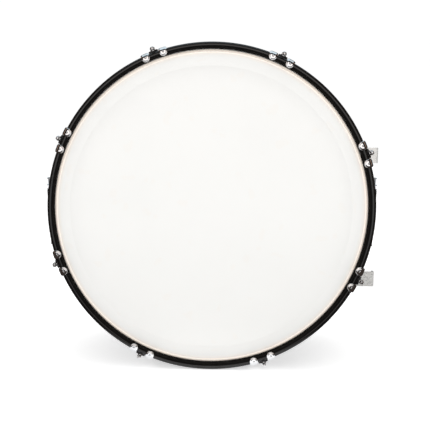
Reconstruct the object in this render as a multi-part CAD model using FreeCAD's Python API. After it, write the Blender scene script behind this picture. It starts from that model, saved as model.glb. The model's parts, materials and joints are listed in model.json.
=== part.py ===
import FreeCAD, Part
import os
from math import asin, atan2, cos, degrees, pi, radians, sin, tan

Vec = FreeCAD.Vector

# Bass drum: shell, two heads, two wooden hoops, 16 claws on key rods, 8 double-ended lugs,
# a handle on each side and two carrier brackets. Millimetres, +Z up.
# The drum's axis runs along Y, the front head faces -Y, and Z = 0 is the floor under the hoops.
# Each piece is first drawn round the drum's axis at height 0, at angle 0 (radial = +X), and turned to
# its place. Angles grow from +X towards +Z.

# Driving dimensions
SHELL_RADIUS = 328.0
SHELL_WALL = 7.5
SHELL_DEPTH = 305.0
HOOP_RADIUS = 346.5
HOOP_DEPTH = 40.0
HOOP_LIP_RADIUS = 335.0
HOOP_STAND_OUT = 14.5
STATIONS = 8
FIRST_STATION = 19.8
ROD_AXIS_RADIUS = 353.0
ROD_RADIUS = 3.0
THREAD_ENGAGED = 14.0
TOE_WIDTH = 17.5
TOE_SPACING = 39.0
SHEET = 3.0
HANDLE_DROP = 2.4
HANDLE_LENGTH = 161.0
HANDLE_OUT = 384.0
BRACKET_OUT = 378.5
GAP = 0.3

# Film, flesh hoop and wooden hoop, front end
HALF_DEPTH = SHELL_DEPTH / 2
EDGE_ROUND = 3.0
EDGE_FLAT = 0.5
FILM = 0.6
COLLAR_FLARE = 4.8
COLLAR_TURN = 54.0
COLLAR_RADIUS = SHELL_RADIUS + COLLAR_FLARE
FLESH_INNER = COLLAR_RADIUS + FILM
FLESH_OUTER = FLESH_INNER + 5.4
FLESH_FRONT = HALF_DEPTH - 8.0
FLESH_DEPTH = 10.5
RABBET_RADIUS = FLESH_OUTER + 1.2
HOOP_FRONT = HALF_DEPTH + HOOP_STAND_OUT
HOOP_BACK = HOOP_FRONT - HOOP_DEPTH

# Lug casing
LUG_HALF_LENGTH = 36.0
LUG_BARREL_RADIUS = 8.5
LUG_FOOT_WIDTH = 26.0
GASKET = 1.0
NUT_RADIUS = 5.5
NUT_LENGTH = 10.0
LUG_SCREW_Y = 18.0
LUG_SCREW_REACH = 343.0
SCREW_RADIUS = 2.45
WASHER = 1.2
WASHER_RADIUS = 7.0

# Claw and rod
TOE_END_RADIUS = 331.5
TOE_FRONT = HOOP_FRONT + GAP
CLAW_INNER = HOOP_RADIUS + 0.4
CLAW_BACK = HOOP_FRONT - 27.0
BOSS_FRONT = HOOP_FRONT - 5.0
EAR_RADIUS = 4.8
TOE_BEND = 6.5
FLANGE_RADIUS = 5.2
KEY_SQUARE = 6.35
KEY_LENGTH = 9.0

# Handle and bracket
HANDLE_HALF_WIDTH = 15.0
GRIP_THICK = 9.0
POST_LENGTH = 14.0
TONGUE_LENGTH = 16.0
TENON = 6.0
FOOT_THICK = 4.0
HANDLE_SCREW_Y = 20.0
BRACKET_FACE = 43.0
LIP_DEPTH = 18.0
HOOK_HOLE_RADIUS = 4.5

os.makedirs("parts", exist_ok=True)

ORIGIN = Vec(0, 0, 0)
Y_AXIS = Vec(0, 1, 0)
TOWARDS_FRONT = Vec(0, -1, 0)
STATION_ANGLES = [FIRST_STATION + k * 360.0 / STATIONS for k in range(STATIONS)]
TOE_ANGLE = degrees(asin(TOE_SPACING / 2 / HOOP_RADIUS))


def save(name, *shapes):
    """Lift the shapes to the drum's axis height and write them as one node."""
    group = Part.makeCompound(list(shapes))
    group.translate(Vec(0, 0, HOOP_RADIUS))
    group.exportStep(f"parts/{name}.step")


def turned(shape, angle):
    """A copy turned round the drum's axis to an angle that grows from +X towards +Z."""
    copy = shape.copy()
    copy.rotate(ORIGIN, TOWARDS_FRONT, angle)
    return copy


def around(shape, angles=STATION_ANGLES):
    return [turned(shape, angle) for angle in angles]


def to_rear(shape):
    return shape.mirror(ORIGIN, Y_AXIS)


def rounded_face(corners, place=lambda u, v: Vec(u, v, 0)):
    """A face from (u, v, corner radius) corners, drawn with straight runs and arcs."""
    edges = []
    ends = []
    count = len(corners)
    for i, (u, v, radius) in enumerate(corners):
        here = Vec(u, v, 0)
        before = (Vec(*corners[i - 1][:2], 0) - here).normalize()
        after = (Vec(*corners[(i + 1) % count][:2], 0) - here).normalize()
        if radius == 0:
            ends.append((here, here))
            continue
        half = before.getAngle(after) / 2
        reach = radius / tan(half)
        middle = (before + after).normalize()
        centre = here + middle * (radius / sin(half))
        start = here + before * reach
        stop = here + after * reach
        ends.append((start, stop))
        points = [place(p.x, p.y) for p in (start, centre - middle * radius, stop)]
        edges.append(Part.Arc(*points).toShape())
    for i in range(count):
        start = ends[i][1]
        stop = ends[(i + 1) % count][0]
        if start.distanceToPoint(stop) > 1e-6:
            edges.append(Part.LineSegment(place(start.x, start.y), place(stop.x, stop.y)).toShape())
    return Part.Face(Part.Wire(Part.__sortEdges__(edges)))


def ring(corners):
    """A solid of revolution round the drum's axis from (radius, y, corner radius) corners."""
    return rounded_face(corners).revolve(ORIGIN, Y_AXIS, 360)


def pad(inner, outer, y_low, y_high, angle_low, angle_high):
    """A curved plate: a sector of a ring round the drum's axis."""
    face = rounded_face([(inner, y_low, 0), (outer, y_low, 0), (outer, y_high, 0), (inner, y_high, 0)])
    return turned(face, angle_low).revolve(ORIGIN, TOWARDS_FRONT, angle_high - angle_low)


def block(x_low, x_high, y_low, y_high, z_low, z_high):
    size = (x_high - x_low, y_high - y_low, z_high - z_low)
    return Part.makeBox(*size, Vec(x_low, y_low, z_low))


def radial_rod(radius, x_low, x_high, y=0.0):
    return Part.makeCylinder(radius, x_high - x_low, Vec(x_low, y, 0), Vec(1, 0, 0))


def axial_rod(radius, y_low, y_high, x=ROD_AXIS_RADIUS):
    return Part.makeCylinder(radius, y_high - y_low, Vec(x, y_low, 0), Y_AXIS)


def softened(shape, radius, chosen):
    """Round the edges for which chosen(edge) holds."""
    return shape.makeFillet(radius, [edge for edge in shape.Edges if chosen(edge)])


def runs_along(edge, axis):
    """True for a straight edge parallel to an axis."""
    if not isinstance(edge.Curve, (Part.Line, Part.LineSegment)):
        return False
    return edge.tangentAt(edge.FirstParameter).cross(axis).Length < 1e-6


def stands_at(edge, foot):
    """True for an upright edge over a point."""
    start = edge.valueAt(edge.FirstParameter)
    return runs_along(edge, Vec(0, 0, 1)) and abs(start.x - foot.x) + abs(start.y - foot.y) < 1e-4


def lies_at_y(edge, y):
    return abs(edge.BoundBox.YMin - y) < 1e-4 and abs(edge.BoundBox.YMax - y) < 1e-4


# Shell, heads and hoops

def shell():
    inner = SHELL_RADIUS - SHELL_WALL
    peak = SHELL_RADIUS - EDGE_ROUND - EDGE_FLAT
    bevel = peak - inner
    body = ring([
        (inner, -HALF_DEPTH + bevel, 0),
        (peak, -HALF_DEPTH, 0),
        (SHELL_RADIUS, -HALF_DEPTH, EDGE_ROUND),
        (SHELL_RADIUS, HALF_DEPTH, EDGE_ROUND),
        (peak, HALF_DEPTH, 0),
        (inner, HALF_DEPTH - bevel, 0),
    ])
    drills = []
    for y in (-LUG_SCREW_Y, LUG_SCREW_Y):
        drills += around(radial_rod(SCREW_RADIUS + GAP, inner - 5, SHELL_RADIUS + 5, y))
    for angle, y in handle_screw_places() + bracket_screw_places():
        drills.append(turned(radial_rod(SCREW_RADIUS + GAP, inner - 5, SHELL_RADIUS + 5, y), angle))
    drills.append(turned(radial_rod(VENT_RADIUS, inner - 5, SHELL_RADIUS + 5), VENT_ANGLE))
    return body.cut(drills)


def drumhead():
    """Flat film that rounds over the bearing edge and flares down into the flesh hoop."""
    collar_end = -FLESH_FRONT + FLESH_DEPTH
    edge_round = EDGE_ROUND + 0.1
    rim = SHELL_RADIUS - EDGE_ROUND + edge_round * tan(radians(COLLAR_TURN / 2))
    shoulder = -FLESH_FRONT + 0.2
    slope = atan2(shoulder + HALF_DEPTH, COLLAR_RADIUS - rim)
    outer_rim = rim + FILM * tan(slope / 2)
    outer_shoulder = shoulder - FILM * tan((pi / 2 - slope) / 2)
    return ring([
        (0, -HALF_DEPTH - FILM, 0),
        (outer_rim, -HALF_DEPTH - FILM, edge_round + FILM),
        (COLLAR_RADIUS + FILM, outer_shoulder, 2.0 + FILM),
        (COLLAR_RADIUS + FILM, collar_end, 0),
        (COLLAR_RADIUS, collar_end, 0),
        (COLLAR_RADIUS, shoulder, 2.0),
        (rim, -HALF_DEPTH, edge_round),
        (0, -HALF_DEPTH, 0),
    ])


def flesh_hoop():
    back = -FLESH_FRONT + FLESH_DEPTH
    return ring([
        (FLESH_INNER, -FLESH_FRONT, 0),
        (FLESH_OUTER, -FLESH_FRONT, 1.2),
        (FLESH_OUTER, back, 1.2),
        (FLESH_INNER, back, 0),
    ])


def wooden_hoop():
    """Band with a bullnosed front lip, rabbeted at the back to sit on the flesh hoop."""
    return ring([
        (HOOP_LIP_RADIUS, -HOOP_FRONT, 4.5),
        (HOOP_RADIUS, -HOOP_FRONT, 6.0),
        (HOOP_RADIUS, -HOOP_BACK, 2.0),
        (RABBET_RADIUS, -HOOP_BACK, 1.5),
        (RABBET_RADIUS, -FLESH_FRONT, 0),
        (HOOP_LIP_RADIUS, -FLESH_FRONT, 1.0),
    ])


# Lugs

def lug_casing():
    """Die-cast double-ended casing with a pocket for a swivel nut at each end."""
    foot_half = LUG_FOOT_WIDTH / 2
    seat = SHELL_RADIUS + GASKET
    foot = block(320, seat + 3.5, -LUG_HALF_LENGTH + 2, LUG_HALF_LENGTH - 2, -foot_half, foot_half)
    foot = softened(foot, 4.0, lambda edge: runs_along(edge, Vec(1, 0, 0)))
    neck_corners = [(320, -11, 0), (ROD_AXIS_RADIUS, -LUG_BARREL_RADIUS, 0),
                    (ROD_AXIS_RADIUS, LUG_BARREL_RADIUS, 0), (320, 11, 0)]
    neck = rounded_face(neck_corners, lambda u, v: Vec(u, -LUG_HALF_LENGTH + 4, v))
    neck = neck.extrude(Vec(0, 2 * LUG_HALF_LENGTH - 8, 0))
    barrel = axial_rod(LUG_BARREL_RADIUS, -LUG_HALF_LENGTH, LUG_HALF_LENGTH)
    barrel = softened(barrel, 1.5, lambda edge: isinstance(edge.Curve, Part.Circle))
    casing = foot.fuse([neck, barrel]).removeSplitter()
    pocket = NUT_RADIUS + 0.05
    cuts = [Part.makeCylinder(seat, 200, Vec(0, -100, 0), Y_AXIS)]
    for side in (-1, 1):
        mouth = side * LUG_HALF_LENGTH
        nut_seat = side * (LUG_HALF_LENGTH - NUT_LENGTH)
        blind = side * 12.0
        cuts.append(axial_rod(pocket, min(nut_seat, mouth + side), max(nut_seat, mouth + side)))
        cuts.append(axial_rod(ROD_RADIUS + 0.6, min(blind, mouth), max(blind, mouth)))
        cuts.append(radial_rod(SCREW_RADIUS, seat - 5, LUG_SCREW_REACH, side * LUG_SCREW_Y))
    return casing.cut(cuts)


def lug_gasket():
    half_angle = degrees((LUG_FOOT_WIDTH / 2 + 0.8) / SHELL_RADIUS)
    half_length = LUG_HALF_LENGTH - 1.2
    gasket = pad(SHELL_RADIUS, SHELL_RADIUS + GASKET, -half_length, half_length, -half_angle, half_angle)
    holes = [radial_rod(SCREW_RADIUS, 320, 335, side * LUG_SCREW_Y) for side in (-1, 1)]
    return gasket.cut(holes)


def swivel_nut():
    body = axial_rod(NUT_RADIUS, -LUG_HALF_LENGTH - 0.8, -LUG_HALF_LENGTH + NUT_LENGTH)
    return body.cut(axial_rod(ROD_RADIUS + 0.05, -LUG_HALF_LENGTH - 2, 0))


def inner_washer(y):
    outer_face = (SHELL_RADIUS - SHELL_WALL) - 0.15
    disc = radial_rod(WASHER_RADIUS, outer_face - WASHER, outer_face, y)
    return disc.cut(radial_rod(SCREW_RADIUS + 0.2, 300, 330, y))


def inner_screw(y):
    """Pan-headed screw put in from inside the shell, with a slot across its head."""
    under_head = (SHELL_RADIUS - SHELL_WALL) - 0.15 - WASHER
    head = radial_rod(4.6, under_head - 3.4, under_head, y)
    head = softened(head, 1.2, lambda edge: abs(edge.BoundBox.XMax - under_head + 3.4) < 1e-4)
    slot = block(under_head - 4, under_head - 2.2, y - 0.6, y + 0.6, -6, 6)
    return head.fuse(radial_rod(SCREW_RADIUS, under_head, LUG_SCREW_REACH - 1, y)).cut(slot)


# Claws and key rods

def toe():
    """One chrome hook: a round-ended tongue over the hoop's front and a limb down its outside."""
    limb_out = CLAW_INNER + SHEET
    front = -TOE_FRONT - SHEET
    outline = [
        (TOE_END_RADIUS - 1, -TOE_FRONT, 0),
        (TOE_END_RADIUS - 1, front, 0),
        (limb_out, front, TOE_BEND + SHEET),
        (limb_out, -CLAW_BACK, 1.0),
        (CLAW_INNER, -CLAW_BACK, 1.0),
        (CLAW_INNER, -TOE_FRONT, TOE_BEND),
    ]
    half = TOE_WIDTH / 2
    hook = rounded_face(outline, lambda u, v: Vec(u, v, -half)).extrude(Vec(0, 0, TOE_WIDTH))
    tip = Part.makeCylinder(half, 60, Vec(TOE_END_RADIUS + half, -HOOP_FRONT - 20, 0), Y_AXIS)
    rest = block(TOE_END_RADIUS + half, limb_out + 5, -HOOP_FRONT - 20, -CLAW_BACK + 5, -half, half)
    hook = hook.common(tip.fuse(rest).removeSplitter()).removeSplitter()
    hook = softened(hook, 1.0, lambda edge: lies_at_y(edge, front) and not runs_along(edge, Vec(0, 0, 1)))
    rivet = Part.makeSphere(3.4, Vec(TOE_END_RADIUS + half, front + 2.4, 0))
    return hook.fuse(rivet.common(block(330, 350, front - 3, front + 1, -5, 5))).removeSplitter()


def yoke():
    """Black casting: a bar behind the two toes and, between them, an ear that carries the rod's head."""
    half_angle = TOE_ANGLE + degrees(TOE_WIDTH / 2 / HOOP_RADIUS) - 0.15
    bar = pad(CLAW_INNER, CLAW_INNER + 3.4, -CLAW_BACK + 0.1, -CLAW_BACK + 10, -half_angle, half_angle)
    middle_half = TOE_SPACING / 2 - TOE_WIDTH / 2 - 0.8
    shoulder = CLAW_INNER + SHEET
    ear_end = ROD_AXIS_RADIUS + EAR_RADIUS
    outline = [
        (CLAW_INNER, -middle_half, 1.0),
        (shoulder, -middle_half, 1.5),
        (shoulder + 0.4, -EAR_RADIUS, 1.5),
        (ear_end, -EAR_RADIUS, 4.0),
        (ear_end, EAR_RADIUS, 4.0),
        (shoulder + 0.4, EAR_RADIUS, 1.5),
        (shoulder, middle_half, 1.5),
        (CLAW_INNER, middle_half, 1.0),
    ]
    ear = rounded_face(outline, lambda u, v: Vec(u, -BOSS_FRONT, v))
    ear = ear.extrude(Vec(0, BOSS_FRONT - CLAW_BACK + 10, 0))
    casting = bar.fuse(ear).removeSplitter()
    return casting.cut(axial_rod(ROD_RADIUS + 0.5, -BOSS_FRONT - 5, 0))


def claw():
    return [turned(toe(), -TOE_ANGLE), turned(toe(), TOE_ANGLE), yoke()]


def key_rod():
    """Rod with a flange that bears on the claw's boss and a square end for the drum key."""
    seat = -BOSS_FRONT - 0.1
    rod_end = -LUG_HALF_LENGTH + THREAD_ENGAGED
    shank = softened(axial_rod(ROD_RADIUS, seat, rod_end), 0.8, lambda edge: lies_at_y(edge, rod_end))
    face = seat - 2.4
    flange = softened(axial_rod(FLANGE_RADIUS, face, seat), 0.7, lambda edge: lies_at_y(edge, face))
    half = KEY_SQUARE / 2
    square = block(ROD_AXIS_RADIUS - half, ROD_AXIS_RADIUS + half, face - KEY_LENGTH, face + 0.4,
                   -half, half)
    square = softened(square, 0.6, lambda edge: runs_along(edge, Y_AXIS))
    dome = Part.makeSphere(12.0, Vec(ROD_AXIS_RADIUS, face - KEY_LENGTH + 12.0, 0))
    return shank.fuse([flange, square.common(dome)]).removeSplitter()


# Handles

HANDLE_ANGLES = {"right": -HANDLE_DROP, "left": 180.0 + HANDLE_DROP}
POST_END = HANDLE_LENGTH / 2 - TONGUE_LENGTH
POST_ANGLE = degrees(asin((POST_END - POST_LENGTH / 2) / SHELL_RADIUS))


def handle_screw_places():
    places = []
    for angle in HANDLE_ANGLES.values():
        for post in (-POST_ANGLE, POST_ANGLE):
            places += [(angle + post, side * HANDLE_SCREW_Y) for side in (-1, 1)]
    return places


def handle_post():
    """Chrome post at the +Z end of a handle: a curved foot, a column with a pocket for the grip, and a
    thin tongue that runs on to the handle's end."""
    foot_half = degrees(13.0 / SHELL_RADIUS)
    foot = pad(SHELL_RADIUS, SHELL_RADIUS + FOOT_THICK, -HANDLE_SCREW_Y - 8, HANDLE_SCREW_Y + 8,
               POST_ANGLE - foot_half, POST_ANGLE + foot_half)
    outer = HANDLE_OUT - 0.5
    half = HANDLE_HALF_WIDTH - 2
    column = block(305, outer, -half, half, POST_END - POST_LENGTH, POST_END)
    column = softened(column, 3.5, lambda edge: runs_along(edge, Vec(1, 0, 0)))
    tongue = block(outer - SHEET, outer, -10, 10, POST_END - POST_LENGTH + 6, HANDLE_LENGTH / 2)
    at_end = lambda edge: runs_along(edge, Vec(1, 0, 0)) and edge.BoundBox.ZMin > POST_END
    tongue = softened(tongue, 4.0, at_end)
    post = foot.fuse([column, tongue]).removeSplitter()
    cuts = [Part.makeCylinder(SHELL_RADIUS, 200, Vec(0, -100, 0), Y_AXIS), grip_tenon(0.05)]
    for side in (-1, 1):
        cuts.append(turned(radial_rod(SCREW_RADIUS + GAP, 320, 340, side * HANDLE_SCREW_Y), POST_ANGLE))
    return post.cut(cuts)


def grip_tenon(slack=0.0):
    reach = POST_END - POST_LENGTH + TENON + slack
    inner = HANDLE_OUT - GRIP_THICK
    return block(inner + 2 - slack, HANDLE_OUT - 2 + slack, -9 - slack, 9 + slack, -reach, reach)


def handle_grip():
    """Flat padded bar between the posts, with two rivets' holes in its middle."""
    half = POST_END - POST_LENGTH
    bar = block(HANDLE_OUT - GRIP_THICK, HANDLE_OUT, -HANDLE_HALF_WIDTH, HANDLE_HALF_WIDTH, -half, half)
    bar = softened(bar, 3.2, lambda edge: runs_along(edge, Vec(0, 0, 1)))
    holes = [Part.makeCylinder(RIVET_RADIUS, 30, Vec(370, 0, z), Vec(1, 0, 0)) for z in RIVET_PLACES]
    return bar.fuse(grip_tenon()).removeSplitter().cut(holes)


def grip_rivet(z):
    inner = HANDLE_OUT - GRIP_THICK
    shank = Part.makeCylinder(RIVET_RADIUS, GRIP_THICK, Vec(inner, 0, z), Vec(1, 0, 0))
    outer_head = Part.makeCylinder(3.2, 4.0, Vec(HANDLE_OUT, 0, z), Vec(1, 0, 0))
    outer_head = outer_head.common(Part.makeSphere(3.9, Vec(HANDLE_OUT + 0.1, 0, z)))
    inner_head = Part.makeSphere(4.0, Vec(inner + 2.2, 0, z))
    inner_head = inner_head.common(block(inner - 5, inner, -6, 6, z - 6, z + 6))
    return shank.fuse([outer_head, inner_head]).removeSplitter()


def outer_screw(y, seat):
    """Pan-headed screw put in from outside; its nut is inside the shell."""
    head = radial_rod(4.6, seat, seat + 3.2, y)
    head = softened(head, 1.2, lambda edge: abs(edge.BoundBox.XMin - seat - 3.2) < 1e-4)
    shank = radial_rod(SCREW_RADIUS, SHELL_RADIUS - SHELL_WALL - 8, seat, y)
    slot = block(seat + 2.0, seat + 4, y - 0.6, y + 0.6, -6, 6)
    return head.fuse(shank).cut(slot)


def inner_nut(y):
    outer_face = SHELL_RADIUS - SHELL_WALL - 0.15 - WASHER
    points = [Vec(outer_face - 4, y + 4.6 * cos(k * pi / 3), 4.6 * sin(k * pi / 3)) for k in range(7)]
    nut = Part.Face(Part.makePolygon(points)).extrude(Vec(4, 0, 0))
    return nut.cut(radial_rod(SCREW_RADIUS, 300, 330, y))


RIVET_RADIUS = 1.6
RIVET_PLACES = (-4.0, 4.0)

# Carrier brackets, on the right side

BRACKET_SCREW_Y = -18.0
UPPER_FOOT = (27.9, 35.9)
LOWER_FOOT = (-39.0, -31.0)
UPPER_PLATE = (98.0, 132.5)
LOWER_PLATE = (-184.5, -149.5)


def bracket_screw_places():
    places = []
    for low, high in (UPPER_FOOT, LOWER_FOOT):
        places += [(low + 1.9, BRACKET_SCREW_Y), (high - 1.9, BRACKET_SCREW_Y)]
    return places


def on_circle(radius, angle):
    return (radius * cos(radians(angle)), radius * sin(radians(angle)))


def carrier_bracket(foot_angles, plate, near_edge, far_shelf):
    """Pressed plate: a foot on the shell, a face across the drum's axis and a lip with a hook hole.

    The face's edge on the handle side runs from the foot through the near edge's corners, clear of the
    tension rod, and level out to the lip. Its other edge runs level from the far shelf."""
    near_angle, far_angle = sorted(foot_angles, key=abs)
    near_z, far_z = sorted(plate, key=abs)
    foot = pad(SHELL_RADIUS, SHELL_RADIUS + SHEET, -BRACKET_FACE, -5.0, *sorted(foot_angles))
    near_root = on_circle(SHELL_RADIUS + 1, near_angle + (1 if near_angle > 0 else -1) * 0.4)
    far_root = on_circle(SHELL_RADIUS + 1, far_angle - (1 if far_angle > 0 else -1) * 0.4)
    outline = [(*near_root, 0), *near_edge, (BRACKET_OUT, near_z, 0),
               (BRACKET_OUT, far_z, 0), (far_shelf, far_z, 6.0), (*far_root, 0)]
    face = rounded_face(outline, lambda u, v: Vec(u, -BRACKET_FACE, v)).extrude(Vec(0, SHEET, 0))
    low, high = sorted(plate)
    lip = block(BRACKET_OUT - SHEET, BRACKET_OUT, -BRACKET_FACE, -BRACKET_FACE + LIP_DEPTH, low, high)
    lip = softened(lip, 3.0, lambda edge: runs_along(edge, Vec(1, 0, 0)) and edge.BoundBox.YMin > -30)
    bracket = foot.fuse([face, lip]).removeSplitter()
    outer_bend = Vec(BRACKET_OUT, -BRACKET_FACE, 0)
    inner_bend = Vec(BRACKET_OUT - SHEET, -BRACKET_FACE + SHEET, 0)
    bracket = softened(bracket, 4.0, lambda edge: stands_at(edge, outer_bend))
    bracket = softened(bracket, 1.5, lambda edge: stands_at(edge, inner_bend))
    cuts = [Part.makeCylinder(SHELL_RADIUS, 200, Vec(0, -100, 0), Y_AXIS)]
    cuts.append(Part.makeCylinder(
        HOOK_HOLE_RADIUS, 30, Vec(370, -BRACKET_FACE + SHEET + 7.5, (low + high) / 2), Vec(1, 0, 0)))
    for angle, y in bracket_screw_places():
        if min(foot_angles) < angle < max(foot_angles):
            cuts.append(turned(radial_rod(SCREW_RADIUS + GAP, 320, 335, y), angle))
    return bracket.cut(cuts)


# Vent, on the shell's upper side between two lugs

VENT_RADIUS = 8.0
VENT_ANGLE = FIRST_STATION + 67.5


def vent_grommet():
    inner = SHELL_RADIUS - SHELL_WALL
    tube = radial_rod(VENT_RADIUS - 0.1, inner - 1.6, SHELL_RADIUS + 1.2)
    outer_flange = radial_rod(11.5, SHELL_RADIUS + 0.2, SHELL_RADIUS + 1.6)
    outer_flange = softened(outer_flange, 0.9, lambda edge: edge.BoundBox.XMin > SHELL_RADIUS + 1)
    inner_flange = radial_rod(10.5, inner - 1.7, inner - 0.4)
    bore = radial_rod(6.0, inner - 10, SHELL_RADIUS + 10)
    return tube.fuse([outer_flange, inner_flange]).cut(bore)


def main():
    save("shell", shell())
    for end in ("front", "rear"):
        place = to_rear if end == "rear" else lambda shape: shape
        save(f"drumhead_{end}", place(drumhead()))
        save(f"flesh_hoop_{end}", place(flesh_hoop()))
        save(f"hoop_{end}", place(wooden_hoop()))
        claw_pieces = claw()
        rod = key_rod()
        for number, angle in enumerate(STATION_ANGLES, 1):
            save(f"claw_{end}_{number}", *[place(turned(piece, angle)) for piece in claw_pieces])
            save(f"key_rod_{end}_{number}", place(turned(rod, angle)))

    save("lug_casings", *around(lug_casing()))
    save("lug_gaskets", *around(lug_gasket()))
    save("swivel_nuts", *around(swivel_nut()), *around(to_rear(swivel_nut())))
    ends = (-LUG_SCREW_Y, LUG_SCREW_Y)
    save("lug_screws", *[piece for y in ends for piece in around(inner_screw(y))])
    save("lug_washers", *[piece for y in ends for piece in around(inner_washer(y))])

    post = handle_post()
    lower_post = post.mirror(ORIGIN, Vec(0, 0, 1))
    rivets = [grip_rivet(z) for z in RIVET_PLACES]
    for side, angle in HANDLE_ANGLES.items():
        save(f"handle_posts_{side}", turned(post, angle), turned(lower_post, angle))
        save(f"handle_grip_{side}", turned(handle_grip(), angle))
        save(f"grip_rivets_{side}", *[turned(rivet, angle) for rivet in rivets])
    places = handle_screw_places()
    seat = SHELL_RADIUS + FOOT_THICK
    save("handle_screws", *[turned(outer_screw(y, seat), angle) for angle, y in places])

    upper_edge = [(340.0, UPPER_PLATE[0] + 28, 5.0), (340.0, UPPER_PLATE[0], 6.0)]
    lower_edge = [(345.0, LOWER_PLATE[1], 6.0)]
    save("carrier_bracket_upper", carrier_bracket(UPPER_FOOT, UPPER_PLATE, upper_edge, 352.0))
    save("carrier_bracket_lower", carrier_bracket(LOWER_FOOT, LOWER_PLATE, lower_edge, 330.0))
    bracket_places = bracket_screw_places()
    seat = SHELL_RADIUS + SHEET
    save("bracket_screws", *[turned(outer_screw(y, seat), angle) for angle, y in bracket_places])

    places += bracket_places
    save("shell_nuts", *[turned(inner_nut(y), angle) for angle, y in places])
    save("shell_washers", *[turned(inner_washer(y), angle) for angle, y in places])
    save("vent_grommet", turned(vent_grommet(), VENT_ANGLE))


main()
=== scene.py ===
"""Bass drum: its heads, hoops, shell, lugs, claws, key rods, handles and carrier brackets.

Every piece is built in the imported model's own frame, in metres with +Z up. The drum's axis runs along Y,
the front head faces -Y, and the floor is Z = 0. Angles go round the axis from +X towards +Z. A piece that
repeats is drawn once in millimetres at angle 0, on an axis at height 0, and turned to its places.
"""

import json
from math import atan2, cos, degrees, hypot, pi, radians, sin, sqrt, tan

import bmesh
import bpy
from bpy.props import FloatProperty, FloatVectorProperty, IntProperty, PointerProperty
from mathutils import Matrix, Vector


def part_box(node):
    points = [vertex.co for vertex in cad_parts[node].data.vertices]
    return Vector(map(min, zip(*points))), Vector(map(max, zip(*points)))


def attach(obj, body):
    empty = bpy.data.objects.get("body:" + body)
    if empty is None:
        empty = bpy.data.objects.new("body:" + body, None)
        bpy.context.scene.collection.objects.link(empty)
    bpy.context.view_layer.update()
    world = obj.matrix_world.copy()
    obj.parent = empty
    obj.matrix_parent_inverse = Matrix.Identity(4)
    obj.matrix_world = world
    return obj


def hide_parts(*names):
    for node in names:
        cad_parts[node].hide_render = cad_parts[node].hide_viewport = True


bl_info = {
    "name": "Bass drum",
    "version": (1, 0, 0),
    "blender": (4, 5, 0),
    "location": "3D View > Sidebar > Drum",
    "description": "Builds the looks of a bass drum around its packed model",
    "category": "Object",
}

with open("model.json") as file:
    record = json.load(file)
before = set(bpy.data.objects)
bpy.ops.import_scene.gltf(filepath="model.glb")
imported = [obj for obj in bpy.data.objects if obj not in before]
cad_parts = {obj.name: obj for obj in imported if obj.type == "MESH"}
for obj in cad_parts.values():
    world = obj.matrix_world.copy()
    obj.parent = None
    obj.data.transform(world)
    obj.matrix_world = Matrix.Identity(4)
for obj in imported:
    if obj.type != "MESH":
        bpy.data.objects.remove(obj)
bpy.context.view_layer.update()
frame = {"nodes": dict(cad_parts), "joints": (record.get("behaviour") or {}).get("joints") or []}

MM = 0.001
ENDS = ("front", "rear")


def span(node):
    """Lowest and highest corner of a node, in millimetres."""
    low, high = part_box(node)
    return low / MM, high / MM


BARE_WOOD = (0.10, 0.07, 0.05)
SOFTBOX_EDGE = (0.90, 0.93)

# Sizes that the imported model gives, in millimetres
HOOP_LOW, HOOP_HIGH = span("hoop_front")
AXIS_Z = (HOOP_LOW.z + HOOP_HIGH.z) / 2
HOOP_RADIUS = (HOOP_HIGH.x - HOOP_LOW.x) / 2
HOOP_FRONT = -HOOP_LOW.y
HOOP_BACK = -HOOP_HIGH.y
SHELL_LOW, SHELL_HIGH = span("shell")
SHELL_RADIUS = SHELL_HIGH.x
HALF_DEPTH = SHELL_HIGH.y
FLESH_LOW, FLESH_HIGH = span("flesh_hoop_front")
FLESH_RADIUS = FLESH_HIGH.x
FLESH_FRONT = -FLESH_LOW.y
FLESH_BACK = -FLESH_HIGH.y
LUG_HALF_LENGTH = span("lug_casings")[1].y
GASKET_TOP = SHELL_RADIUS + 1.0
CLAW_BACK = -span("claw_front_1")[1].y
LIMB_BACK = CLAW_BACK + 10.0
BOSS_FRONT = HOOP_FRONT - 5.0
ROD_FRONT = -span("key_rod_front_1")[0].y
ROD_BACK = -span("key_rod_front_1")[1].y


def station(number):
    """Radius in millimetres and angle of a tension rod, from its joint."""
    joint = next(j for j in frame["joints"] if j["name"] == f"rod_turn_front_{number}")
    x, _, z = joint["pos_m"]
    return hypot(x, z - AXIS_Z * MM) / MM, atan2(z - AXIS_Z * MM, x)


ROD_COUNT = sum(j["name"].startswith("rod_turn_front_") for j in frame["joints"])
ROD_AXIS_RADIUS = station(1)[0]
STATION_ANGLES = [station(number)[1] for number in range(1, ROD_COUNT + 1)]


# Mesh helpers

def outline_points(corners, steps=6):
    """Points along a closed outline of (u, v, corner radius) corners, with an arc at each rounded one."""
    points = []
    count = len(corners)
    for i, (u, v, radius) in enumerate(corners):
        here = Vector((u, v))
        if radius == 0:
            points.append((u, v))
            continue
        before = (Vector(corners[i - 1][:2]) - here).normalized()
        after = (Vector(corners[(i + 1) % count][:2]) - here).normalized()
        half = before.angle(after) / 2
        centre = here + (before + after).normalized() * (radius / sin(half))
        arm = here + before * (radius / tan(half)) - centre
        side = 1 if before.cross(after) < 0 else -1
        for step in range(steps + 1):
            turn = side * (pi - 2 * half) * step / steps
            points.append((centre.x + arm.x * cos(turn) - arm.y * sin(turn),
                           centre.y + arm.x * sin(turn) + arm.y * cos(turn)))
    return points


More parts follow.
